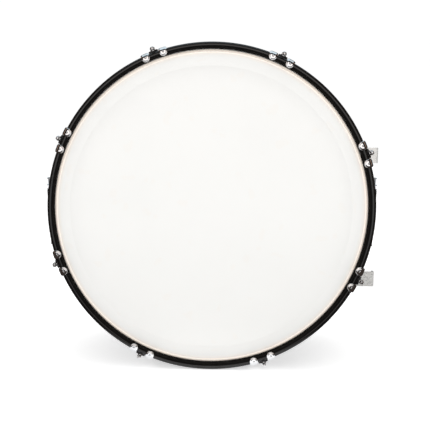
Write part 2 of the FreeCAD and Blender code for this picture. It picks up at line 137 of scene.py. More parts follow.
def polish(mesh, sharp=35.0, merge=1e-6):
    """Merge doubles, turn the faces outwards, and shade smoothly up to an angle in degrees."""
    shape = bmesh.new()
    shape.from_mesh(mesh)
    bmesh.ops.remove_doubles(shape, verts=shape.verts, dist=merge)
    bmesh.ops.dissolve_degenerate(shape, edges=shape.edges, dist=merge)
    bmesh.ops.recalc_face_normals(shape, faces=shape.faces)
    shape.to_mesh(mesh)
    shape.free()
    mesh.shade_smooth()
    mesh.set_sharp_from_angle(angle=radians(sharp))
    return mesh


def mesh_of(name, points, faces, sharp=35.0):
    """A mesh from millimetre points."""
    mesh = bpy.data.meshes.new(name)
    mesh.from_pydata([Vector(p) * MM for p in points], [], faces)
    return polish(mesh, sharp)


def shown(name, mesh):
    piece = bpy.data.objects.new(name, mesh)
    bpy.context.scene.collection.objects.link(piece)
    return piece


def joined(name, *meshes):
    """One mesh that holds several closed ones."""
    shape = bmesh.new()
    for mesh in meshes:
        shape.from_mesh(mesh)
    whole = bpy.data.meshes.new(name)
    shape.to_mesh(whole)
    shape.free()
    return whole


def loops_faces(loops, count, closed=False):
    """Quads between neighbouring loops of points, each loop closed on itself."""
    faces = []
    last = loops if closed else loops - 1
    for i in range(last):
        here, there = i * count, ((i + 1) % loops) * count
        faces += [(here + j, here + (j + 1) % count, there + (j + 1) % count, there + j)
                  for j in range(count)]
    return faces


def lathe(name, outline, segments, height=0.0, sharp=35.0):
    """A closed outline of (radius, y) points turned round the drum's axis."""
    points = []
    for k in range(segments):
        angle = 2 * pi * k / segments
        points += [(r * cos(angle), y, height + r * sin(angle)) for r, y in outline]
    return mesh_of(name, points, loops_faces(segments, len(outline), closed=True), sharp)


def spindle(name, profile, segments, centre, axis, sharp=35.0):
    """A turned solid from (radius, distance along the axis) points, which start and end on the axis."""
    along = Vector(axis).normalized()
    across = along.orthogonal().normalized()
    third = along.cross(across)
    points = []
    for r, t in profile:
        for k in range(segments):
            angle = 2 * pi * k / segments
            points.append(Vector(centre) + along * t + (across * cos(angle) + third * sin(angle)) * r)
    return mesh_of(name, points, loops_faces(len(profile), segments), sharp)


def mirrored(mesh):
    """The rear end's copy of a mesh drawn for the front end."""
    copy = mesh.copy()
    copy.transform(Matrix.Diagonal((1, -1, 1, 1)))
    copy.flip_normals()
    return copy


# Geometry Nodes: copies round the drum's axis

def around_tree():
    tree = bpy.data.node_groups.new("around_the_drum", "GeometryNodeTree")
    tree.is_modifier = True
    for name, kind, direction in (
            ("Geometry", "NodeSocketGeometry", "INPUT"), ("Count", "NodeSocketInt", "INPUT"),
            ("First angle", "NodeSocketFloat", "INPUT"), ("Step", "NodeSocketFloat", "INPUT"),
            ("Axis height", "NodeSocketFloat", "INPUT"), ("Material", "NodeSocketMaterial", "INPUT"),
            ("Geometry", "NodeSocketGeometry", "OUTPUT")):
        tree.interface.new_socket(name, in_out=direction, socket_type=kind)
    given = place(tree, "NodeGroupInput")
    centre = place(tree, "ShaderNodeCombineXYZ", {"Z": given.outputs["Axis height"]})
    line = place(tree, "GeometryNodeMeshLine", {
        "Count": given.outputs["Count"], "Start Location": centre.outputs["Vector"], "Offset": (0, 0, 0)})
    index = place(tree, "GeometryNodeInputIndex")
    swing = sums(tree, "MULTIPLY_ADD", index.outputs["Index"], given.outputs["Step"],
                 given.outputs["First angle"])
    euler = place(tree, "ShaderNodeCombineXYZ", {"Y": sums(tree, "MULTIPLY", swing, -1.0)})
    turn = place(tree, "FunctionNodeEulerToRotation", {"Euler": euler.outputs["Vector"]})
    copies = place(tree, "GeometryNodeInstanceOnPoints", {
        "Points": line.outputs["Mesh"], "Instance": given.outputs["Geometry"],
        "Rotation": turn.outputs["Rotation"]})
    whole = place(tree, "GeometryNodeRealizeInstances", {"Geometry": copies.outputs["Instances"]})
    finish = place(tree, "GeometryNodeSetMaterial", {
        "Geometry": whole.outputs["Geometry"], "Material": given.outputs["Material"]})
    place(tree, "NodeGroupOutput", {"Geometry": finish.outputs["Geometry"]})
    return tree


def thread_tree():
    """A spiral ridge along a rod that is parallel to Y."""
    tree = bpy.data.node_groups.new("screw_thread", "GeometryNodeTree")
    tree.is_modifier = True
    for name, kind, direction in (
            ("Geometry", "NodeSocketGeometry", "INPUT"), ("Radius", "NodeSocketFloat", "INPUT"),
            ("Pitch", "NodeSocketFloat", "INPUT"), ("Turns", "NodeSocketFloat", "INPUT"),
            ("Ridge", "NodeSocketFloat", "INPUT"), ("Start", "NodeSocketVector", "INPUT"),
            ("Material", "NodeSocketMaterial", "INPUT"), ("Geometry", "NodeSocketGeometry", "OUTPUT")):
        tree.interface.new_socket(name, in_out=direction, socket_type=kind)
    given = place(tree, "NodeGroupInput")
    height = sums(tree, "MULTIPLY", given.outputs["Pitch"], given.outputs["Turns"])
    coil = place(tree, "GeometryNodeCurveSpiral", {
        "Resolution": 18, "Rotations": given.outputs["Turns"], "Start Radius": given.outputs["Radius"],
        "End Radius": given.outputs["Radius"], "Height": height})
    ridge = place(tree, "GeometryNodeCurvePrimitiveCircle", {
        "Resolution": 4, "Radius": given.outputs["Ridge"]})
    swept = place(tree, "GeometryNodeCurveToMesh", {
        "Curve": coil.outputs["Curve"], "Profile Curve": ridge.outputs["Curve"], "Fill Caps": True})
    laid = place(tree, "GeometryNodeTransform", {
        "Geometry": swept.outputs["Mesh"], "Translation": given.outputs["Start"], "Rotation": (pi / 2, 0, 0)})
    both = place(tree, "GeometryNodeJoinGeometry")
    tree.links.new(laid.outputs["Geometry"], both.inputs["Geometry"])
    tree.links.new(given.outputs["Geometry"], both.inputs["Geometry"])
    whole = place(tree, "GeometryNodeRealizeInstances", {"Geometry": both.outputs["Geometry"]})
    finish = place(tree, "GeometryNodeSetMaterial", {
        "Geometry": whole.outputs["Geometry"], "Material": given.outputs["Material"]})
    place(tree, "NodeGroupOutput", {"Geometry": finish.outputs["Geometry"]})
    return tree


def ribs_tree():
    """A piece repeated along a straight line."""
    tree = bpy.data.node_groups.new("row_of_ribs", "GeometryNodeTree")
    tree.is_modifier = True
    for name, kind, direction in (
            ("Geometry", "NodeSocketGeometry", "INPUT"), ("Count", "NodeSocketInt", "INPUT"),
            ("Start", "NodeSocketVector", "INPUT"), ("Offset", "NodeSocketVector", "INPUT"),
            ("Material", "NodeSocketMaterial", "INPUT"), ("Geometry", "NodeSocketGeometry", "OUTPUT")):
        tree.interface.new_socket(name, in_out=direction, socket_type=kind)
    given = place(tree, "NodeGroupInput")
    line = place(tree, "GeometryNodeMeshLine", {
        "Count": given.outputs["Count"], "Start Location": given.outputs["Start"],
        "Offset": given.outputs["Offset"]})
    copies = place(tree, "GeometryNodeInstanceOnPoints", {
        "Points": line.outputs["Mesh"], "Instance": given.outputs["Geometry"]})
    whole = place(tree, "GeometryNodeRealizeInstances", {"Geometry": copies.outputs["Instances"]})
    finish = place(tree, "GeometryNodeSetMaterial", {
        "Geometry": whole.outputs["Geometry"], "Material": given.outputs["Material"]})
    place(tree, "NodeGroupOutput", {"Geometry": finish.outputs["Geometry"]})
    return tree


TREES = {}


def baked(name, mesh, maker, **inputs):
    """The mesh that a Geometry Nodes tree makes of a source mesh, with the tree's inputs set by name."""
    tree = TREES.get(maker) or TREES.setdefault(maker, maker())
    source = shown(name + "_source", mesh)
    modifier = source.modifiers.new("tree", "NODES")
    modifier.node_group = tree
    wanted = {key.replace("_", " ").capitalize(): value for key, value in inputs.items()}
    for item in tree.interface.items_tree:
        if item.in_out == "INPUT" and item.name in wanted:
            modifier[item.identifier] = wanted.pop(item.name)
    if wanted:
        raise ValueError(f"the tree {tree.name} has no input {sorted(wanted)}")
    graph = bpy.context.evaluated_depsgraph_get()
    result = bpy.data.meshes.new_from_object(source.evaluated_get(graph), preserve_all_data_layers=True,
                                             depsgraph=graph)
    result.name = name
    bpy.data.objects.remove(source)
    return result


def around(name, mesh, material, angles):
    """A finished piece: a mesh drawn at angle 0, copied to evenly spaced angles round the drum."""
    step = angles[1] - angles[0] if len(angles) > 1 else 0.0
    return shown(name, baked(name, mesh, around_tree, count=len(angles), first_angle=float(angles[0]),
                             step=float(step), axis_height=AXIS_Z * MM, material=material))


# Shader helpers

def place(tree, kind, inputs=None, **settings):
    """Add a node, set its options, and fill its inputs with values or with other nodes' outputs."""
    node = tree.nodes.new(kind)
    node.location = (230 * (len(tree.nodes) % 9), -280 * (len(tree.nodes) // 9))
    for key, value in settings.items():
        setattr(node, key, value)
    for key, value in (inputs or {}).items():
        if isinstance(value, bpy.types.NodeSocket):
            tree.links.new(value, node.inputs[key])
        else:
            node.inputs[key].default_value = value
    return node


def sums(tree, operation, a, b=0.0, c=0.0, clamp=False):
    return place(tree, "ShaderNodeMath", {0: a, 1: b, 2: c}, operation=operation, use_clamp=clamp).outputs[0]


def eased(tree, value, low, high, to_low=0.0, to_high=1.0):
    """A value carried from one range to another, with a smooth step between."""
    node = place(tree, "ShaderNodeMapRange", {"Value": value, "From Min": low, "From Max": high,
                                              "To Min": to_low, "To Max": to_high},
                 interpolation_type="SMOOTHSTEP")
    return node.outputs["Result"]


def blended(tree, mask, a, b):
    """Colour a where the mask is 0 and colour b where it is 1."""
    return place(tree, "ShaderNodeMix", {0: mask, 6: a, 7: b}, data_type="RGBA").outputs[2]


def stretched(tree, vector, scale, turn=(0, 0, 0)):
    mapping = {"Vector": vector, "Scale": scale, "Rotation": turn}
    return place(tree, "ShaderNodeMapping", mapping).outputs["Vector"]


def noise(tree, vector, scale, detail=3.0, roughness=0.5, distortion=0.0):
    node = place(tree, "ShaderNodeTexNoise", {"Vector": vector, "Scale": scale, "Detail": detail,
                                              "Roughness": roughness, "Distortion": distortion})
    return node.outputs["Fac"]


def place_on_piece(tree):
    return place(tree, "ShaderNodeTexCoord").outputs["Object"]


def drum_coordinates(tree, vector, height):
    """Turn a place into (distance round the drum at its shell, y, distance from the axis)."""
    parts = place(tree, "ShaderNodeSeparateXYZ", {"Vector": vector})
    rise = sums(tree, "SUBTRACT", parts.outputs["Z"], height)
    angle = sums(tree, "ARCTAN2", rise, parts.outputs["X"])
    radius = sums(tree, "SQRT", sums(tree, "ADD", sums(tree, "MULTIPLY", rise, rise),
                                     sums(tree, "MULTIPLY", parts.outputs["X"], parts.outputs["X"])))
    arc = sums(tree, "MULTIPLY", angle, SHELL_RADIUS * MM)
    joint = place(tree, "ShaderNodeCombineXYZ", {"X": arc, "Y": parts.outputs["Y"], "Z": radius})
    return joint.outputs["Vector"], radius


def shader_group(name, inputs, outputs):
    """An empty shader group with float inputs, and its input and output nodes."""
    tree = bpy.data.node_groups.new(name, "ShaderNodeTree")
    for key, value in inputs.items():
        socket = tree.interface.new_socket(key, in_out="INPUT", socket_type="NodeSocketFloat")
        socket.default_value = value
    for key, kind in outputs.items():
        tree.interface.new_socket(key, in_out="OUTPUT", socket_type=kind)
    return tree, place(tree, "NodeGroupInput"), place(tree, "NodeGroupOutput")


def edge_wear_group():
    """Mask of rubbed edges: where the normal of a slightly rounded shape leaves the true one."""
    tree, given, out = shader_group("edge_wear", {"Width": 0.0008, "Breakup": 300.0, "Amount": 1.0},
                                    {"Mask": "NodeSocketFloat"})
    soft = place(tree, "ShaderNodeBevel", {"Radius": given.outputs["Width"]}, samples=4)
    true = place(tree, "ShaderNodeNewGeometry")
    same = place(tree, "ShaderNodeVectorMath", {0: soft.outputs["Normal"], 1: true.outputs["Normal"]},
                 operation="DOT_PRODUCT").outputs["Value"]
    edge = eased(tree, same, 0.995, 0.90)
    patch = eased(tree, noise(tree, place_on_piece(tree), given.outputs["Breakup"], 4.0), 0.42, 0.62)
    worn = sums(tree, "MULTIPLY", sums(tree, "MULTIPLY", edge, patch), given.outputs["Amount"], clamp=True)
    tree.links.new(worn, out.inputs["Mask"])
    return tree


def orange_peel_group():
    """Height of the fine ripple in sprayed lacquer or powder coat."""
    tree, given, out = shader_group("orange_peel", {"Scale": 400.0, "Depth": 1.0},
                                    {"Height": "NodeSocketFloat"})
    where = place_on_piece(tree)
    broad = noise(tree, where, given.outputs["Scale"], 2.0, 0.4)
    fine = noise(tree, where, sums(tree, "MULTIPLY", given.outputs["Scale"], 3.1), 1.0)
    both = sums(tree, "MULTIPLY_ADD", fine, 0.3, broad)
    tree.links.new(sums(tree, "MULTIPLY", both, given.outputs["Depth"]), out.inputs["Height"])
    return tree


def handling_group():
    """Mask of finger smudges and cloudy wiping marks."""
    tree, given, out = shader_group("handling", {"Scale": 14.0, "Amount": 1.0}, {"Mask": "NodeSocketFloat"})
    where = place_on_piece(tree)
    cloud = eased(tree, noise(tree, where, given.outputs["Scale"], 6.0, 0.62, 1.2), 0.45, 0.72)
    wipe = eased(tree, noise(tree, stretched(tree, where, (1.0, 7.0, 1.6), (0.3, 0.0, 0.5)),
                             sums(tree, "MULTIPLY", given.outputs["Scale"], 4.0), 3.0), 0.50, 0.75)
    both = sums(tree, "MULTIPLY_ADD", wipe, 0.4, cloud)
    tree.links.new(sums(tree, "MULTIPLY", both, given.outputs["Amount"], clamp=True), out.inputs["Mask"])
    return tree


def scratches_group():
    """Mask of hairline scratches that cross each other."""
    tree, given, out = shader_group("hairlines", {"Scale": 60.0, "Amount": 1.0}, {"Mask": "NodeSocketFloat"})
    where = place_on_piece(tree)
    lines = []
    for turn in ((0.2, 0.4, 0.1), (0.9, 0.2, 1.3), (0.5, 1.1, 2.2)):
        lanes = noise(tree, stretched(tree, where, (1.0, 28.0, 1.0), turn), given.outputs["Scale"], 1.0)
        lines.append(eased(tree, lanes, 0.69, 0.74))
    both = sums(tree, "MAXIMUM", sums(tree, "MAXIMUM", lines[0], lines[1]), lines[2])
    tree.links.new(sums(tree, "MULTIPLY", both, given.outputs["Amount"], clamp=True), out.inputs["Mask"])
    return tree


def dust_group():
    """Mask of dust that has settled on faces that look up."""
    tree, given, out = shader_group("settled_dust", {"Scale": 90.0, "Amount": 0.3},
                                    {"Mask": "NodeSocketFloat"})
    normal = place(tree, "ShaderNodeNewGeometry").outputs["Normal"]
    up = place(tree, "ShaderNodeSeparateXYZ", {"Vector": normal}).outputs["Z"]
    flat = eased(tree, up, 0.55, 0.98)
    grains = eased(tree, noise(tree, place_on_piece(tree), given.outputs["Scale"], 8.0, 0.75), 0.40, 0.68)
    both = sums(tree, "MULTIPLY", sums(tree, "MULTIPLY", flat, grains), given.outputs["Amount"], clamp=True)
    tree.links.new(both, out.inputs["Mask"])
    return tree


def wood_grain_group():
    """Mask and height of wood grain that runs round the drum."""
    tree, given, out = shader_group("wood_grain", {"Axis height": AXIS_Z * MM, "Scale": 1.0},
                                    {"Mask": "NodeSocketFloat", "Height": "NodeSocketFloat"})
    around_drum, _ = drum_coordinates(tree, place_on_piece(tree), given.outputs["Axis height"])
    scaled = place(tree, "ShaderNodeVectorMath", {0: around_drum, "Scale": given.outputs["Scale"]},
                   operation="SCALE").outputs["Vector"]
    figure = noise(tree, stretched(tree, scaled, (9.0, 90.0, 90.0)), 1.0, 5.0, 0.6, 0.8)
    pores = eased(tree, noise(tree, stretched(tree, scaled, (60.0, 1500.0, 1500.0)), 1.0, 2.0), 0.55, 0.75)
    mask = sums(tree, "MULTIPLY_ADD", pores, 0.35, figure, clamp=True)
    tree.links.new(mask, out.inputs["Mask"])
    tree.links.new(sums(tree, "SUBTRACT", figure, pores), out.inputs["Height"])
    return tree


def turning_group():
    """Height of fine lines left by rolling or turning, which run round the drum."""
    tree, given, out = shader_group("turning_lines", {"Axis height": AXIS_Z * MM, "Scale": 1.0},
                                    {"Height": "NodeSocketFloat"})
    around_drum, _ = drum_coordinates(tree, place_on_piece(tree), given.outputs["Axis height"])
    lines = noise(tree, stretched(tree, around_drum, (3.0, 4000.0, 4000.0)), given.outputs["Scale"], 3.0)
    tree.links.new(lines, out.inputs["Height"])
    return tree


def pebble_group():
    """Mask and height of the moulded pebble grain of rubber."""
    tree, given, out = shader_group("pebble_grain", {"Scale": 900.0}, {"Mask": "NodeSocketFloat",
                                                                       "Height": "NodeSocketFloat"})
    where = place_on_piece(tree)
    cells = place(tree, "ShaderNodeTexVoronoi", {"Vector": where, "Scale": given.outputs["Scale"],
                                                 "Smoothness": 0.6}, feature="SMOOTH_F1")
    crowns = eased(tree, cells.outputs["Distance"], 0.65, 0.1)
    tree.links.new(eased(tree, noise(tree, where, 60.0, 5.0), 0.35, 0.7), out.inputs["Mask"])
    tree.links.new(crowns, out.inputs["Height"])
    return tree


GROUPS = {}


def effect(tree, maker, **inputs):
    """Place a shared shader group in a material with its own values, given by name."""
    group = GROUPS.get(maker) or GROUPS.setdefault(maker, maker())
    values = {key.replace("_", " ").capitalize(): value for key, value in inputs.items()}
    node = place(tree, "ShaderNodeGroup", node_tree=group)
    for key, value in values.items():
        node.inputs[key].default_value = value
    return node


def new_material(name, **constants):
    """A material's tree and its Principled shader, with constants on the shader's own sockets."""
    material = bpy.data.materials.new(name)
    material.use_nodes = True
    tree = material.node_tree
    tree.nodes.clear()
    shader = place(tree, "ShaderNodeBsdfPrincipled")
    for key, value in constants.items():
        shader.inputs[key.replace("_", " ")].default_value = value
    out = place(tree, "ShaderNodeOutputMaterial")
    tree.links.new(shader.outputs["BSDF"], out.inputs["Surface"])
    return material, tree, shader


def bumped(tree, shader, height, distance, strength=1.0, coat=False):
    bump = place(tree, "ShaderNodeBump", {"Height": height, "Distance": distance, "Strength": strength})
    tree.links.new(bump.outputs["Normal"], shader.inputs["Normal"])
    if coat:
        tree.links.new(bump.outputs["Normal"], shader.inputs["Coat Normal"])


# Materials

def film_material(look):
    """White coated film, warm over the bearing edge (its tint and painted shade), with a painted glow there.
    """
    material, tree, shader = new_material("coated_film", Coat_Weight=0.25, Coat_Roughness=0.12,
                                          Specular_IOR_Level=0.35, Emission_Strength=1.0)
    where = place_on_piece(tree)
    _, radius = drum_coordinates(tree, where, AXIS_Z * MM)
    # Warm over the bearing edge: partly the edge's tint under the film, partly painted shade of its shadowed
    # slope.
    rim = eased(tree, radius, (SHELL_RADIUS - 11) * MM, (SHELL_RADIUS + 4) * MM)
    rim_tint_and_painted_shade_mask = sums(tree, "MULTIPLY", rim, sums(tree, "MULTIPLY_ADD", noise(tree, where, 9.0), 0.5, 0.75),
                  clamp=True)
    cloud = eased(tree, noise(tree, where, 5.0, 5.0, 0.6), 0.35, 0.70)
    body = blended(tree, cloud, (*look.film_colour, 1), (*[c * 0.985 for c in look.film_colour], 1))
    film_with_rim_tint_and_shade = blended(tree, rim_tint_and_painted_shade_mask, body, (*look.rim_tint_and_painted_shade, 1))
    marks = effect(tree, scratches_group, scale=26.0, amount=0.10).outputs["Mask"]
    rubbed = blended(tree, marks, film_with_rim_tint_and_shade, (*[c * 0.93 for c in look.rim_tint_and_painted_shade], 1))
    tree.links.new(rubbed, shader.inputs["Base Color"])
    # Painted light: the film's rim glows, standing in for light on its shadowed slope.
    lit = eased(tree, radius, (SHELL_RADIUS - 4) * MM, (SHELL_RADIUS + 2) * MM, 0.0, look.painted_rim_glow)
    tree.links.new(blended(tree, lit, (0, 0, 0, 1), film_with_rim_tint_and_shade), shader.inputs["Emission Color"])
    smear = effect(tree, handling_group, scale=7.0, amount=0.8).outputs["Mask"]
    tree.links.new(eased(tree, smear, 0.0, 1.0, look.film_roughness, look.film_roughness + 0.14),
                   shader.inputs["Roughness"])
    grit = effect(tree, orange_peel_group, scale=1400.0).outputs["Height"]
    bumped(tree, shader, grit, 0.00004, 0.5)
    return material


def lacquer_material(name, colour, under_colour, roughness, wear, gloss=0.40, bare=False):
    """Black gloss lacquer over wood, with grain that shows faintly; the shell's inside is bare ply."""
    material, tree, shader = new_material(name, Specular_IOR_Level=gloss)
    grain = effect(tree, wood_grain_group)
    tone = blended(tree, grain.outputs["Mask"], (*[c * 0.55 for c in colour], 1),
                   (*[c * 1.5 for c in colour], 1))
    rub = effect(tree, edge_wear_group, width=0.0007, breakup=160.0, amount=wear).outputs["Mask"]
    worn = blended(tree, rub, tone, (*under_colour, 1))
    dust = effect(tree, dust_group, scale=220.0, amount=0.03).outputs["Mask"]
    dusty = blended(tree, dust, worn, (0.32, 0.30, 0.27, 1))
    smear = effect(tree, handling_group, scale=16.0, amount=1.0).outputs["Mask"]
    lines = effect(tree, scratches_group, scale=70.0, amount=0.5).outputs["Mask"]
    scuffed = sums(tree, "MAXIMUM", smear, lines)
    rough = eased(tree, scuffed, 0.0, 1.0, roughness, roughness + 0.12)
    rough = sums(tree, "MAXIMUM", rough, sums(tree, "MULTIPLY", sums(tree, "MAXIMUM", rub, dust), 0.6))
    ripple = effect(tree, orange_peel_group, scale=330.0).outputs["Height"]
    height = sums(tree, "MULTIPLY_ADD", grain.outputs["Height"], 0.35, ripple)
    if bare:
        where = place_on_piece(tree)
        unrolled, radius = drum_coordinates(tree, where, AXIS_Z * MM)
        outside = eased(tree, radius, (SHELL_RADIUS - 0.5) * MM, (SHELL_RADIUS - 0.2) * MM)
        plies = eased(tree, sums(tree, "PINGPONG", radius, 0.00125), 0.0004, 0.0009)
        figure = noise(tree, stretched(tree, unrolled, (7.0, 60.0, 60.0)), 1.0, 6.0, 0.6, 1.5)
        wood = blended(tree, figure, (0.46, 0.30, 0.17, 1), (0.70, 0.52, 0.33, 1))
        layered = blended(tree, sums(tree, "MULTIPLY", plies, 0.35), wood, (0.30, 0.18, 0.10, 1))
        dusty = blended(tree, outside, layered, dusty)
        rough = sums(tree, "MAXIMUM", rough, eased(tree, outside, 0.0, 1.0, 0.62, 0.0))
    tree.links.new(dusty, shader.inputs["Base Color"])
    tree.links.new(rough, shader.inputs["Roughness"])
    bumped(tree, shader, height, 0.00005, 0.6)
    return material


def metal_material(name, colour, stain_colour, roughness, smear, breakup=200.0, lines=0.5, bump=0.00001):
    """Plated or bare metal with smudges, hairlines and a little tarnish along its edges."""
    material, tree, shader = new_material(name, Metallic=1.0)
    marks = effect(tree, handling_group, scale=55.0, amount=1.0).outputs["Mask"]
    fine = effect(tree, scratches_group, scale=170.0, amount=lines).outputs["Mask"]
    edge = effect(tree, edge_wear_group, width=0.0005, breakup=breakup, amount=0.6).outputs["Mask"]
    cloud = noise(tree, place_on_piece(tree), 120.0, 5.0, 0.65)
    stain = sums(tree, "MAXIMUM", sums(tree, "MULTIPLY", edge, 0.5), sums(tree, "MULTIPLY", marks, 0.35))
    mottled = blended(tree, eased(tree, cloud, 0.35, 0.7), (*colour, 1), (*[c * 0.93 for c in colour], 1))
    tree.links.new(blended(tree, stain, mottled, (*stain_colour, 1)), shader.inputs["Base Color"])
    scuffed = sums(tree, "MAXIMUM", marks, fine)
    tree.links.new(eased(tree, scuffed, 0.0, 1.0, roughness, roughness + smear), shader.inputs["Roughness"])
    ripple = effect(tree, orange_peel_group, scale=260.0).outputs["Height"]
    bumped(tree, shader, sums(tree, "MULTIPLY_ADD", fine, -0.5, ripple), bump, 0.5)
    return material


def zinc_material(colour):
    """Zinc-plated pressed steel: cloudy spangle, fine rolling lines and rubbed bright edges."""
    material, tree, shader = new_material("zinc_plate", Metallic=0.0, Specular_IOR_Level=0.6)
    where = place_on_piece(tree)
    spangle = place(tree, "ShaderNodeTexVoronoi", {"Vector": where, "Scale": 240.0}).outputs["Color"]
    flake = place(tree, "ShaderNodeSeparateColor", {"Color": spangle}).outputs["Red"]
    rolled = noise(tree, stretched(tree, where, (40.0, 40.0, 1400.0)), 1.0, 3.0)
    shade = sums(tree, "MULTIPLY_ADD", flake, 0.35, sums(tree, "MULTIPLY", rolled, 0.65))
    tone = blended(tree, eased(tree, shade, 0.25, 0.75), (*[c * 0.90 for c in colour], 1), (*colour, 1))
    edge = effect(tree, edge_wear_group, width=0.0006, breakup=130.0, amount=0.9).outputs["Mask"]
    rubbed = blended(tree, edge, tone, (0.50, 0.46, 0.41, 1))
    marks = effect(tree, handling_group, scale=40.0, amount=0.8).outputs["Mask"]
    stained = blended(tree, sums(tree, "MULTIPLY", marks, 0.25), rubbed, (0.42, 0.38, 0.33, 1))
    tree.links.new(stained, shader.inputs["Base Color"])
    tree.links.new(sums(tree, "MULTIPLY_ADD", flake, 0.12, sums(tree, "MULTIPLY_ADD", marks, 0.10, 0.22)),
                   shader.inputs["Roughness"])
    tree.links.new(eased(tree, shade, 0.2, 0.8, 0.30, 0.42), shader.inputs["Metallic"])
    bumped(tree, shader, shade, 0.00003, 0.5)
    return material


def powder_coat_material(colour):
    """Black powder coat on the claws' castings, chipped to grey metal along its edges."""
    material, tree, shader = new_material("powder_coat", Specular_IOR_Level=0.5)
    edge = effect(tree, edge_wear_group, width=0.0005, breakup=420.0, amount=0.75).outputs["Mask"]
    cloud = noise(tree, place_on_piece(tree), 150.0, 5.0, 0.6)
    tone = blended(tree, cloud, (*[c * 0.6 for c in colour], 1), (*[c * 1.6 for c in colour], 1))
    dust = effect(tree, dust_group, scale=420.0, amount=0.14).outputs["Mask"]
    dusty = blended(tree, dust, tone, (0.28, 0.27, 0.25, 1))
    tree.links.new(blended(tree, edge, dusty, (0.36, 0.35, 0.34, 1)), shader.inputs["Base Color"])
    tree.links.new(sums(tree, "MULTIPLY", edge, 0.8), shader.inputs["Metallic"])
    marks = effect(tree, handling_group, scale=60.0, amount=0.9).outputs["Mask"]
    tree.links.new(eased(tree, marks, 0.0, 1.0, 0.34, 0.50), shader.inputs["Roughness"])
    grain = effect(tree, orange_peel_group, scale=1500.0).outputs["Height"]
    bumped(tree, shader, grain, 0.00006, 0.7)
    return material


def rubber_material(name, colour, roughness, grain_scale, grain_depth):
    """Moulded black rubber with a pebbled skin, chalky where it has been rubbed."""
    material, tree, shader = new_material(name, Specular_IOR_Level=0.4)
    pebble = effect(tree, pebble_group, scale=grain_scale)
    chalk = effect(tree, edge_wear_group, width=0.0010, breakup=240.0, amount=0.5).outputs["Mask"]
    tone = blended(tree, pebble.outputs["Mask"], (*[c * 0.7 for c in colour], 1),
                   (*[c * 1.5 for c in colour], 1))
    dust = effect(tree, dust_group, scale=300.0, amount=0.16).outputs["Mask"]
    dusty = blended(tree, sums(tree, "MAXIMUM", dust, sums(tree, "MULTIPLY", chalk, 0.35)), tone,
                    (0.20, 0.19, 0.18, 1))
    tree.links.new(dusty, shader.inputs["Base Color"])
    tree.links.new(eased(tree, pebble.outputs["Mask"], 0.0, 1.0, roughness, roughness + 0.18),
                   shader.inputs["Roughness"])
    bumped(tree, shader, pebble.outputs["Height"], grain_depth, 0.8)
    return material


def rolled_metal_material(name, colour, roughness):
    """Rolled aluminium hoop, brushed along its length."""
    material, tree, shader = new_material(name, Metallic=1.0)
    lines = effect(tree, turning_group).outputs["Height"]
    marks = effect(tree, handling_group, scale=30.0, amount=0.8).outputs["Mask"]
    tone = blended(tree, lines, (*[c * 0.82 for c in colour], 1), (*colour, 1))
    tree.links.new(blended(tree, sums(tree, "MULTIPLY", marks, 0.3), tone, (0.35, 0.34, 0.33, 1)),
                   shader.inputs["Base Color"])
    tree.links.new(eased(tree, lines, 0.2, 0.8, roughness, roughness + 0.2), shader.inputs["Roughness"])
    bumped(tree, shader, lines, 0.00003, 0.6)
    return material


MATERIALS = {}


def finish(name):
    """The material of one finish, made when it is first asked for."""
    if name not in MATERIALS:
        look = bpy.context.scene.drum_finishes
        makers = {
            "film": lambda: film_material(look),
            "hoop": lambda: lacquer_material("hoop_lacquer", look.lacquer_colour, BARE_WOOD, 0.13, 0.08,
                                             gloss=0.45),
            "hoop_inside": lambda: lacquer_material("hoop_inside_lacquer", look.lacquer_colour, BARE_WOOD,
                                                    0.75, 0.0, gloss=0.02),
            "shell": lambda: lacquer_material("shell_lacquer", look.lacquer_colour, BARE_WOOD, 0.12, 0.0,
                                              bare=True),
            "chrome": lambda: metal_material("chrome_plate", look.chrome_colour, (0.50, 0.47, 0.43),
                                             look.chrome_roughness, 0.12),
            "steel": lambda: metal_material("zinc_plated_steel", (0.56, 0.56, 0.55), (0.30, 0.27, 0.23),
                                            0.30, 0.20, bump=0.00003),
            "rod": lambda: metal_material("plated_rod", (0.66, 0.66, 0.67), (0.34, 0.30, 0.26), 0.16, 0.16,
                                          bump=0.00002),
            "brass": lambda: metal_material("turned_brass", (0.80, 0.58, 0.28), (0.36, 0.22, 0.09),
                                            0.24, 0.20, bump=0.00002),
            "zinc": lambda: zinc_material(look.bracket_colour),
            "claw": lambda: powder_coat_material(look.claw_colour),
            "rubber": lambda: rubber_material("gasket_rubber", (0.018, 0.018, 0.018), 0.62, 1600.0, 0.00008),
            "grip": lambda: rubber_material("grip_rubber", look.grip_colour, 0.46, 900.0, 0.00020),
            "flesh": lambda: rolled_metal_material("rolled_aluminium", (0.78, 0.78, 0.77), 0.28),
        }
        MATERIALS[name] = makers[name]()
    return MATERIALS[name]


def dress(names, finish_name):
    """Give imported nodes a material."""
    for name in names:
        slots = frame["nodes"][name].material_slots
        if not slots:
            raise ValueError(f"{name} has no material slot")
        for entry in slots:
            entry.material = finish(finish_name)


def stand_in(piece, body, slot, *nodes, material=None):
    """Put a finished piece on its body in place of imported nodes."""
    if material:
        piece.data.materials.clear()
        piece.data.materials.append(finish(material))
    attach(piece, body)
    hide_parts(*nodes)
    return piece


# Sizes and colours

def length(name, description, default):
    return FloatProperty(name=name, description=description, default=default * MM, unit="LENGTH", min=0.0)


def colour(name, description, default):
    return FloatVectorProperty(name=name, description=description, default=default, subtype="COLOR",
                               min=0, max=1)


